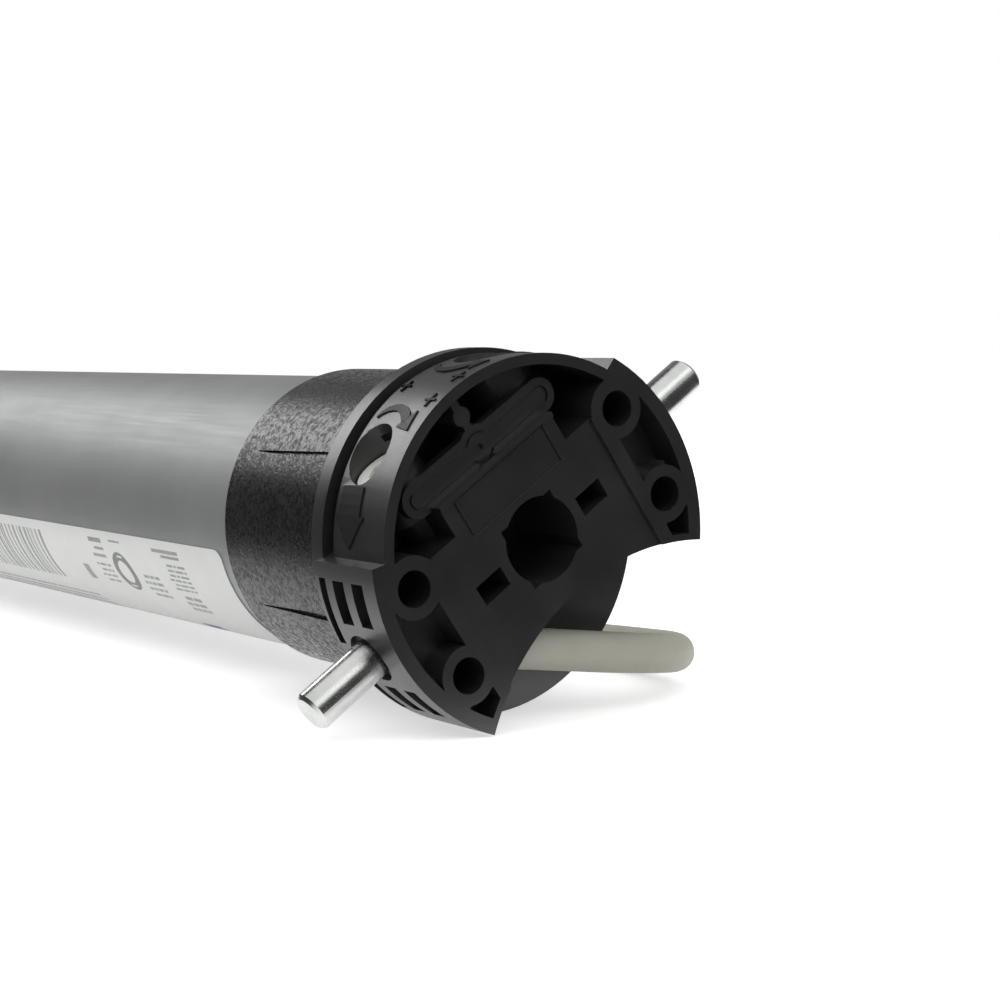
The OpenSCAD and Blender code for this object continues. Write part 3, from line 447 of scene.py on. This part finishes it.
# The ferrule's stations from its tip and their radii, crimped at the tip and flared at the collar
FERRULE_PROFILE = [
    (0, FERRULE_R * 0.85), (0.0004, FERRULE_R), (FERRULE_LEN - COLLAR_LEN, FERRULE_R),
    (FERRULE_LEN - COLLAR_LEN, CORE_R), (FERRULE_LEN - 0.0012, CORE_R + 0.0001),
    (FERRULE_LEN, CORE_R + 0.0003)]
CORE_SHADES = {
    "brown": ((0.085, 0.035, 0.014), (0.12, 0.05, 0.02)),
    "blue": ((0.02, 0.10, 0.36), (0.03, 0.13, 0.42)),
    "black": ((0.012, 0.012, 0.012), (0.02, 0.02, 0.02)),
    "green": ((0.06, 0.22, 0.03), (0.66, 0.58, 0.04)),
}
# The stripe's turn in radians for each metre along the core and across it
STRIPE_ALONG, STRIPE_ACROSS = 420.0, 2600.0


def earth_sleeve(green, yellow):
    """Green with a yellow stripe that winds slowly round the core."""
    finish = Finish("core_green_yellow")
    split = finish.node("ShaderNodeSeparateXYZ", Vector=finish.place)
    wave = finish.math("SINE", finish.math("MULTIPLY_ADD", split.outputs["X"], STRIPE_ALONG,
                                           finish.math("MULTIPLY", split.outputs["Z"], STRIPE_ACROSS)))
    finish.colour(finish.blend(finish.spread(wave, start=-0.1, end=0.1), green, yellow))
    finish.rough(finish.spread(finish.noise(0.6), 0.38, 0.5))
    finish.bump((finish.noise(0.5), 0.01))
    return finish.material


def ring_at(shape, x, y, z, radius, sides):
    """A ring of points round a line along X."""
    turns = [math.tau * k / sides for k in range(sides)]
    return [shape.verts.new((x, y + radius * math.cos(turn), z + radius * math.sin(turn))) for turn in turns]


def ferrule_mesh(tip, core_end):
    """A crimped ferrule with a flared collar, in line with the core's end."""
    shape = bmesh.new()
    rings = [ring_at(shape, tip + x, core_end.y, core_end.z, radius, FERRULE_SIDES)
             for x, radius in FERRULE_PROFILE]
    skin(shape, rings)
    cap(shape, rings)
    return finished_mesh("ferrule", shape)


TIE_BEARINGS, TIE_WIDE, TIE_THICK, TIE_ROOM = (45, 225), 0.004, 0.0009, 0.0002
TIE_FACETS, TIE_ROUND = 16, 0.0002
# The tie's lock and cut end, from its outermost point: nearest, furthest, half the width, lowest, highest
TIE_LOCK, TIE_END = (-0.0006, 0.0032, 0.0026, -0.0024, 0.0024), (0.001, 0.002, 0.0018, 0.0022, 0.007)
BOX_FACES = (0, 1, 3, 2), (4, 6, 7, 5), (0, 4, 5, 1), (2, 3, 7, 6), (0, 2, 6, 4), (1, 5, 7, 3)


def tie_ring(centres, radius):
    """The outline pulled tight round circles of one radius."""
    turns = [math.tau * k / TIE_FACETS for k in range(TIE_FACETS)]
    around = [Vector((radius * math.cos(turn), radius * math.sin(turn))) for turn in turns]
    dots = [centre + step for centre in centres for step in around]
    return [dots[i] for i in convex_hull_2d(dots)]


def add_block(shape, to_world, block, out, middle):
    """A small box on the tie's outer side."""
    near, far, half, low, high = block
    corners = [shape.verts.new(to_world(out + r, middle + z, side))
               for r in (near, far) for z in (low, high) for side in (-half, half)]
    for face in BOX_FACES:
        shape.faces.new([corners[k] for k in face])


def turns_cut(path, toward, across):
    """Where the coil's turns pass through the upright plane at a bearing, as radius and height."""
    hub = Vector((COIL_X, COIL_Y, 0))
    centres = []
    for start, end in zip(path, path[1:]):
        before, after = (start - hub).dot(across), (end - hub).dot(across)
        if before * after <= 0 and before != after:
            at = start.lerp(end, before / (before - after))
            radius = (at - hub).dot(toward)
            if COIL_IN - LEAD_D < radius < COIL_OUT + LEAD_D:
                centres.append(Vector((radius, at.z)))
    return centres


def add_tie(shape, path, bearing):
    """A strap pulled tight round the turns at a bearing, with its lock and cut end."""
    toward = Vector((math.cos(math.radians(bearing)), math.sin(math.radians(bearing)), 0))
    across = Vector((-toward.y, toward.x, 0))

    def to_world(radius, height, side):
        return Vector((COIL_X, COIL_Y, height)) + toward * radius + across * side

    centres = turns_cut(path, toward, across)
    inner = tie_ring(centres, LEAD_D / 2 + TIE_ROOM)
    outer = tie_ring(centres, LEAD_D / 2 + TIE_ROOM + TIE_THICK)
    half = TIE_WIDE / 2
    rings = [[shape.verts.new(to_world(*dot, side)) for dot in outline]
             for outline, side in ((inner, -half), (outer, -half), (outer, half), (inner, half))]
    skin(shape, rings + rings[:1])
    outermost = max(outer, key=lambda dot: dot.x)
    for block in (TIE_LOCK, TIE_END):
        add_block(shape, to_world, block, outermost.x, outermost.y)


def make_ties(path):
    shape = bmesh.new()
    for bearing in TIE_BEARINGS:
        add_tie(shape, path, bearing)
    ties = add_piece("ties", finished_mesh("ties", shape), "tie_black")
    rounds = ties.modifiers.new("rounds", "BEVEL")
    rounds.width, rounds.segments = TIE_ROUND, 2
    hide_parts("coil_ties")
    return ties


def core_points(end, side):
    """A core's route from inside the sheath to its ferrule, spreading a little on the way."""
    points = []
    for i in range(CORE_STEPS + 1):
        t = i / CORE_STEPS
        opened = math.sin(math.pi * min(CORE_HASTE * t, 1.0) / 2)
        pitch = CORE_PITCH * (CORE_CLOSE + (1 - CORE_CLOSE) * opened)
        along = CORE_HIDDEN - t * (CORE_LEN + CORE_HIDDEN - FERRULE_LEN)
        points.append(end + side * pitch + Vector((along, 0, 0)))
    return points


def make_cores(end):
    """Four insulated cores in a square, each with its ferrule."""
    pieces = []
    for k, (shade, tones) in enumerate(CORE_SHADES.items()):
        turn = math.radians(45 + 90 * k)
        points = core_points(end, Vector((0, math.cos(turn), math.sin(turn))))
        if shade == "green":
            material = earth_sleeve(*tones)
        else:
            material = moulded("core_" + shade, *tones, rough=(0.35, 0.48), grain=0.6)
        core = curve_of("core_" + shade, points, CORE_R, 4)
        pieces.append(add_piece("core_" + shade, core, "core_insulation", material))
        pieces.append(add_piece("ferrule_" + shade, ferrule_mesh(end.x - CORE_LEN, points[-1]), "zinc_steel"))
    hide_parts("lead_cores")
    return pieces


def make_lead():
    path = lead_route()
    sheath = add_piece("lead", curve_of("lead", path, LEAD_D / 2, 8), "lead_white")
    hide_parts("lead_stretch", "lead_coil", "lead_tail")
    pieces = make_cores(path[-1])
    pieces + [make_ties(path)]


make_lead()


# ---------------------------------------------------------------- label and rim marks
def ribbon(shape, left, right, low, high):
    """A closed raised band on the motor's round side, between two edges of stations and bearings."""
    rings = [[shape.verts.new(on_motor(x, radius, angle))
              for (x, angle), radius in ((a, high), (b, high), (b, low), (a, low))]
             for a, b in zip(left, right)]
    skin(shape, rings)
    cap(shape, rings)


def span(start, end, step=2.0):
    """Values from start to end in even steps of at most step."""
    count = max(1, math.ceil(abs(end - start) / step))
    return [start + (end - start) * i / count for i in range(count + 1)]


def patch(shape, x0, x1, a0, a1, low, high):
    """A rectangle between two stations and two bearings."""
    bearings = span(a0, a1)
    ribbon(shape, [(x0, a) for a in bearings], [(x1, a) for a in bearings], low, high)


TUBE_R = 22.5
LABEL_LOW, LABEL_HIGH = TUBE_R + 0.03, TUBE_R + 0.15
LABEL_FRONT, LABEL_BACK = -57.5, -225.5
LABEL_TOP, LABEL_BOTTOM = 157.3, 264.5
LABEL_CORNER, CORNER_STEP = 2.2, 0.4


def label_inset(bearing):
    """How far the label's ends draw back at a bearing, for its round corners."""
    edge = math.radians(min(bearing - LABEL_TOP, LABEL_BOTTOM - bearing)) * LABEL_HIGH
    inside = max(LABEL_CORNER - edge, 0.0)
    return LABEL_CORNER - math.sqrt(LABEL_CORNER ** 2 - inside ** 2)


def make_label():
    """The film round the tube's side, with rounded corners."""
    shape = bmesh.new()
    corner = math.degrees(LABEL_CORNER / LABEL_HIGH)
    bearings = (span(LABEL_TOP, LABEL_TOP + corner, CORNER_STEP)
                + span(LABEL_TOP + corner, LABEL_BOTTOM - corner)[1:]
                + span(LABEL_BOTTOM - corner, LABEL_BOTTOM, CORNER_STEP)[1:])
    front = [(LABEL_FRONT - label_inset(a), a) for a in bearings]
    back = [(LABEL_BACK + label_inset(a), a) for a in bearings]
    ribbon(shape, front, back, LABEL_LOW, LABEL_HIGH)
    label = add_piece("label", finished_mesh("label", shape), "label_white")
    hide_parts("rating_label")


# The prints are plain bars, blocks and a ring in place of words and signs
PRINT_LOW, PRINT_HIGH = LABEL_HIGH - 0.02, LABEL_HIGH + 0.012
# Front station, back station, top bearing, bottom bearing
PRINT_BARS = [
    (-74.0, -84.0, 161.4, 163.0), (-74.0, -81.0, 163.9, 165.2),
    (-97.0, -101.6, 161.0, 161.9),
    (-105.0, -110.5, 161.0, 163.2), (-105.0, -109.0, 165.4, 166.8), (-105.0, -110.5, 169.0, 170.6),
    (-116.0, -118.4, 176.5, 185.0),
]
PRINT_BLUE = (-82.0, -88.7, 208.6, 214.0)
# The same four, then the rows' height, the gap between them and the first draw
UPPER_ROWS = [
    (-73.0, -81.0, 168.0, 182.0, 1.1, 1.3, 11), (-86.0, -93.0, 176.0, 190.0, 1.6, 1.9, 29),
    (-74.0, -81.0, 184.5, 194.0, 2.0, 1.6, 47), (-105.0, -111.0, 174.0, 186.0, 1.2, 1.8, 71),
]
LOWER_ROWS = [(-72.0, -120.0, 220.0, 252.0, 1.3, 2.4, 97), (-126.0, -200.0, 200.0, 240.0, 1.5, 3.0, 131)]
# The same four, then the first draw
UPRIGHT_BARS = (-133.0, -166.0, 162.0, 189.0, 5)
# The ring's middle, and the half width and half height of its outside and bore, as stations and bearings
RING_AT, RING_OUTER, RING_BORE, RING_STEPS = (-99.4, 176.7), (3.9, 10.2), (2.3, 6.0), 48
WORD_LEAST, WORD_MORE, WORD_GAP = 0.8, 2.2, 0.5
BAR_LEAST, BAR_WIDTHS, BAR_GAPS = 0.3, (0.35, 0.7, 1.1), (0.4, 0.8, 1.2)


def next_draw(draw):
    """The next in a fixed row of numbers that look random."""
    return (draw * 16807) % 2147483647


def dash_rows(shape, x0, x1, a0, a1, line, gap, draw):
    """Rows of short dashes that run along the tube, as small print would from afar."""
    bearing = a0
    while bearing + line <= a1:
        at = x0
        while at - WORD_LEAST > x1:
            draw = next_draw(draw)
            word = WORD_LEAST + WORD_MORE * (draw % 1000) / 1000
            patch(shape, at, max(at - word, x1), bearing, bearing + line, PRINT_LOW, PRINT_HIGH)
            at -= word + WORD_GAP
        bearing += line + gap


def upright_bars(shape, x0, x1, a0, a1, draw):
    """Upright bars of uneven width."""
    at = x0
    while at - BAR_LEAST > x1:
        draw = next_draw(draw)
        bar = BAR_WIDTHS[draw % 3]
        draw = next_draw(draw)
        patch(shape, at, max(at - bar, x1), a0, a1, PRINT_LOW, PRINT_HIGH)
        at -= bar + BAR_GAPS[draw % 3]


def oval(size):
    """A closed outline round the ring's middle."""
    points = [(RING_AT[0] + size[0] * math.cos(math.tau * i / RING_STEPS),
               RING_AT[1] + size[1] * math.sin(math.tau * i / RING_STEPS)) for i in range(RING_STEPS)]
    return points + points[:1]


def make_prints():
    shape = bmesh.new()
    for bar in PRINT_BARS:
        patch(shape, *bar, PRINT_LOW, PRINT_HIGH)
    for rows in UPPER_ROWS:
        dash_rows(shape, *rows)
    upright_bars(shape, *UPRIGHT_BARS)
    for rows in LOWER_ROWS:
        dash_rows(shape, *rows)
    add_piece("label_print", finished_mesh("label_print", shape), "label_white",
              ink("print_ink", (0.26, 0.265, 0.26), (0.42, 0.43, 0.42)))
    shape = bmesh.new()
    ribbon(shape, oval(RING_OUTER), oval(RING_BORE), PRINT_LOW, PRINT_HIGH)
    add_piece("label_ring", finished_mesh("label_ring", shape), "label_white",
              ink("print_ring", (0.17, 0.18, 0.17), (0.26, 0.27, 0.26)))
    shape = bmesh.new()
    patch(shape, *PRINT_BLUE, PRINT_LOW, PRINT_HIGH)
    add_piece("label_strip", finished_mesh("label_strip", shape), "label_white",
              ink("print_blue", (0.06, 0.08, 0.16), (0.09, 0.12, 0.22)))


RIM_R = 26.3
MARK_LOW, MARK_HIGH = RIM_R - 0.1, RIM_R + 0.2
# A curved arrow round the hole, which widens to its head
ARROW_OUTER = [(-12.5, 103.7), (-12.0, 101.6), (-11.2, 99.9), (-9.9, 98.9), (-8.2, 98.6), (-6.4, 99.5),
               (-4.8, 101.4), (-3.9, 103.6)]
ARROW_INNER = [(-12.3, 104.3), (-11.6, 102.9), (-10.7, 101.9), (-9.5, 101.3), (-8.3, 101.4), (-7.1, 102.4),
               (-6.0, 103.9), (-5.1, 105.6)]
# The head's two barbs and its tip, and how far towards the tip its sections stand
ARROW_BARBS, ARROW_TIP = ((-5.7, 107.3), (-3.1, 100.8)), (-2.4, 108.5)
ARROW_SHARES = (0.0, 0.35, 0.7, 0.97)
# Each plus sign's station, bearing and reach, and half the width of its bars
PLUS_MARKS = [(-12.2, 90.0, 1.2), (-2.5, 96.0, 1.3)]
PLUS_ARM = 0.2
# A block arrow under the hole: its left edge from the foot to the tip, and its right edge
BLOCK_LEFT = [(-12.4, 127.6), (-12.35, 130.0), (-12.3, 133.2), (-12.3, 136.5), (-13.3, 136.6), (-12.0, 140.0),
              (-10.7, 143.5), (-9.55, 146.6)]
BLOCK_RIGHT = [(-7.0, 127.6), (-6.95, 130.0), (-6.9, 133.2), (-6.8, 136.5), (-5.7, 136.6), (-6.95, 140.0),
               (-8.1, 143.5), (-9.2, 146.6)]


def as_drawn(points):
    return points


def mirrored(points):
    return [(x, 180 - a) for x, a in points]


def toward_tip(start):
    """Points from a barb to the arrow's tip."""
    return [(start[0] + (ARROW_TIP[0] - start[0]) * share, start[1] + (ARROW_TIP[1] - start[1]) * share)
            for share in ARROW_SHARES]


def plus_bars(x, a, arm):
    """A plus sign's long bar and its two short ones, as stations and bearings."""
    degree = math.radians(1) * RIM_R
    along, across = arm / degree, PLUS_ARM / degree
    return [(x - arm, x + arm, a - across, a + across), (x - PLUS_ARM, x + PLUS_ARM, a - along, a - across),
            (x - PLUS_ARM, x + PLUS_ARM, a + across, a + along)]


def make_rim_marks():
    """The signs round both adjusters' holes."""
    shape = bmesh.new()
    for turn in (as_drawn, mirrored):
        ribbon(shape, turn(ARROW_OUTER), turn(ARROW_INNER), MARK_LOW, MARK_HIGH)
        ribbon(shape, *(turn(toward_tip(barb)) for barb in ARROW_BARBS), MARK_LOW, MARK_HIGH)
        for mark in PLUS_MARKS:
            for x0, x1, a0, a1 in plus_bars(*mark):
                ribbon(shape, turn([(x0, a0), (x0, a1)]), turn([(x1, a0), (x1, a1)]), MARK_LOW, MARK_HIGH)
        ribbon(shape, turn(BLOCK_LEFT), turn(BLOCK_RIGHT), MARK_LOW, MARK_HIGH)
    smooth = moulded("mark_smooth_black", (0.007, 0.007, 0.0075), (0.010, 0.010, 0.0105),
                     rough=(0.42, 0.54), grain=0.5, depth=0.01, specular=0.45)
    add_piece("rim_marks", finished_mesh("rim_marks", shape), "head_black", smooth)


make_label()
make_prints()
make_rim_marks()


# ---------------------------------------------------------------- brake spring
SPRING_R, SPRING_WIRE, SPRING_TURNS, SPRING_TRAVEL = 0.009, 0.0012, 5, 0.0006
SPRING_SEAT, SPRING_END_GAP = -0.307, 0.0001
SPRING_STEPS, SPRING_SIDES = 32, 12


def spring_mesh(front, back):
    """A coil of round wire between two stations of the motor's line."""
    shape = bmesh.new()
    steps = SPRING_TURNS * SPRING_STEPS
    sides = [math.tau * k / SPRING_SIDES for k in range(SPRING_SIDES)]
    rings = []
    for i in range(steps + 1):
        turn = math.tau * SPRING_TURNS * i / steps
        outward = Vector((0, math.cos(turn), math.sin(turn)))
        centre = outward * SPRING_R + Vector((front + (back - front) * i / steps, 0, 0))
        rings.append([shape.verts.new(centre + SPRING_WIRE / 2 * (
            outward * math.cos(side) + Vector((math.sin(side), 0, 0)))) for side in sides])
    skin(shape, rings, smooth=True)
    cap(shape, rings)
    return finished_mesh("release_spring", shape)


def make_spring():
    """The brake's spring as one fixed coil of round wire. The armature presses the real one shorter as it
    lifts, but this coil keeps one length.
    """
    inset = SPRING_WIRE / 2 + SPRING_END_GAP
    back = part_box("brake_spring")[0].x + SPRING_WIRE / 2
    spring = add_piece("release_spring", spring_mesh(SPRING_SEAT - inset, back), "zinc_steel")
    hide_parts("brake_spring")
    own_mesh(spring)


make_spring()


# ---------------------------------------------------------------- edges
WELD_GAP, SHARP = 0.000002, math.radians(40)
# Each node's edge radius, in millimetres
EDGE_ROUNDS = {
    "head_body": 0.1, "crown_ring": 0.25, "adjuster_left": 0.2, "adjuster_right": 0.2, "output_shaft": 0.3,
    "output_flange": 0.25, "output_snap_ring": 0.12, "tube_rivets": 0.12,
}


def round_edges(node, width):
    """Small rounds on a CAD node's sharp edges."""
    weld = node.modifiers.new("weld", "WELD")
    weld.merge_threshold = WELD_GAP
    bevel = node.modifiers.new("rounds", "BEVEL")
    bevel.width, bevel.segments = width * MM, 2
    bevel.limit_method, bevel.angle_limit = "ANGLE", SHARP
    smooth = node.modifiers.new("smooth", "WEIGHTED_NORMAL")
    smooth.weight, smooth.keep_sharp = 100, True


for node_name, edge_width in EDGE_ROUNDS.items():
    round_edges(NODES[node_name], edge_width)


# ---------------------------------------------------------------- stage
FLOOR_Z, FLOOR_HALF, FLOOR_ROUGH, FLOOR_SPECULAR = cad_box[0].z - 0.0001, 3.0, 0.9, 0.2
FLOOR_DARK, FLOOR_LIGHT, FLOOR_PATCH = (0.80, 0.80, 0.80), (0.83, 0.83, 0.83), 300.0
# The floor's own light near the object, and the distances over which it rises to plain white
FLOOR_GLOW, GLOW_RISE = 0.55, (0.35, 0.9)
# Where the floor is painted dark in reflections only, to the left and to the front, and the painted dark
# colour there
GLOSS_LEFT, GLOSS_FRONT, DARK_REFLECTION_SHADE = (0.034, 0.068), (0.0, 0.03), 0.05
STAGE_AT = Vector((-0.05, 0, 0))
# Each softbox: direction from the object, distance and size in metres, power in watts
KEY = ((-0.83, -0.26, 0.48), 0.95, (0.56, 0.37), 1.95)
TOP = ((0.28, -0.19, 0.94), 1.0, (1.6, 1.5), 7.0)
FRONT = ((0.74, 0.2, 0.64), 1.0, (0.8, 0.6), 0.9)
# The world's light in reflections of the side behind the object and of the camera's side, and in all the rest
BEHIND, FRONT_GLOSS, AMBIENT = 0.3, 0.06, 0.55
# How straight away from the camera a direction points where the reflected light starts and stops to rise
BEHIND_FROM, BEHIND_TO = 0.5, 0.95


def floor_finish():
    """White paper that glows far from the object. In reflections only it is painted dark where the head would
    mirror it, a painted dark reflection.
    """
    finish = Finish("floor_white", specular=FLOOR_SPECULAR)
    rays = finish.tree.nodes.new("ShaderNodeLightPath").outputs
    distance = finish.tree.nodes.new("ShaderNodeVectorMath")
    distance.operation = "LENGTH"
    finish.feed(finish.place, distance.inputs[0])
    seen = finish.math("MULTIPLY", rays["Is Camera Ray"],
                       finish.spread(distance.outputs["Value"], FLOOR_GLOW, 1.0, *GLOW_RISE))
    along = finish.node("ShaderNodeSeparateXYZ", Vector=finish.place).outputs
    mirrored_ray = finish.math("MAXIMUM", rays["Is Glossy Ray"], rays["Is Transmission Ray"])
    # Painted dark reflection: to the left of the object and in front of it, the floor turns dark and stops
    # glowing, for reflected rays only
    left = finish.spread(finish.math("MULTIPLY", along["Y"], -1.0), 0.0, 1.0, *GLOSS_LEFT)
    dark_reflection_mask = finish.math("MAXIMUM", left, finish.spread(along["X"], 0.0, 1.0, *GLOSS_FRONT))
    reflected = finish.math("MULTIPLY", mirrored_ray, finish.spread(dark_reflection_mask, FLOOR_GLOW, 0.0, 0.0, 1.0))
    tone = finish.blend(finish.spread(finish.noise(FLOOR_PATCH)), FLOOR_DARK, FLOOR_LIGHT)
    finish.colour(finish.blend(finish.math("MULTIPLY", mirrored_ray, dark_reflection_mask), tone, (DARK_REFLECTION_SHADE,) * 3))
    finish.rough(FLOOR_ROUGH)
    finish.shader.inputs["Emission Color"].default_value = (1, 1, 1, 1)
    finish.feed(finish.math("ADD", seen, reflected), finish.shader.inputs["Emission Strength"])
    return finish.material


def make_floor():
    shape = bmesh.new()
    bmesh.ops.create_grid(shape, x_segments=1, y_segments=1, size=FLOOR_HALF)
    mesh = finished_mesh("floor", shape)
    mesh.materials.append(floor_finish())
    floor = bpy.data.objects.new("floor", mesh)
    floor.location.z = FLOOR_Z
    bpy.context.scene.collection.objects.link(floor)


def softbox(name, direction, distance, size, power):
    """An area light that faces the object."""
    data = bpy.data.lights.new(name, "AREA")
    data.shape, data.size, data.size_y, data.energy = "RECTANGLE", *size, power
    toward = Vector(direction).normalized()
    light = bpy.data.objects.new(name, data)
    light.location = STAGE_AT + toward * distance
    light.rotation_euler = toward.to_track_quat("Z", "Y").to_euler()
    bpy.context.scene.collection.objects.link(light)


def make_world():
    """White to the camera. It lights gloss unevenly and dull surfaces evenly."""
    world = bpy.data.worlds.new("studio")
    bpy.context.scene.world = world
    world.use_nodes = True
    tree = world.node_tree
    background = tree.nodes["Background"]
    background.inputs["Color"].default_value = (1, 1, 1, 1)

    def calc(operation, *values):
        node = tree.nodes.new("ShaderNodeMath")
        node.operation = operation
        for socket, value in zip(node.inputs, values):
            if isinstance(value, bpy.types.NodeSocket):
                tree.links.new(value, socket)
            else:
                socket.default_value = value
        return node.outputs["Value"]

    rays = tree.nodes.new("ShaderNodeLightPath").outputs
    facing = tree.nodes.new("ShaderNodeVectorMath")
    facing.operation = "DOT_PRODUCT"
    tree.links.new(tree.nodes.new("ShaderNodeTexCoord").outputs["Generated"], facing.inputs[0])
    facing.inputs[1].default_value = (-math.sin(AZIMUTH), math.cos(AZIMUTH), 0)
    ramp = tree.nodes.new("ShaderNodeMapRange")
    for socket, value in zip(ramp.inputs[1:], (BEHIND_FROM, BEHIND_TO, FRONT_GLOSS, BEHIND)):
        socket.default_value = value
    tree.links.new(facing.outputs["Value"], ramp.inputs[0])
    plain = calc("MAXIMUM", rays["Is Camera Ray"], rays["Is Transmission Ray"])
    glossy = calc("MULTIPLY", rays["Is Glossy Ray"], ramp.outputs["Result"])
    diffuse = calc("MULTIPLY", calc("SUBTRACT", 1.0, rays["Is Glossy Ray"]), AMBIENT)
    other = calc("MULTIPLY", calc("SUBTRACT", 1.0, plain), calc("ADD", glossy, diffuse))
    tree.links.new(calc("ADD", plain, other), background.inputs["Strength"])


make_floor()
softbox("key", *KEY)
softbox("top", *TOP)
softbox("front", *FRONT)
make_world()
bpy.context.scene.view_settings.view_transform = "Standard"
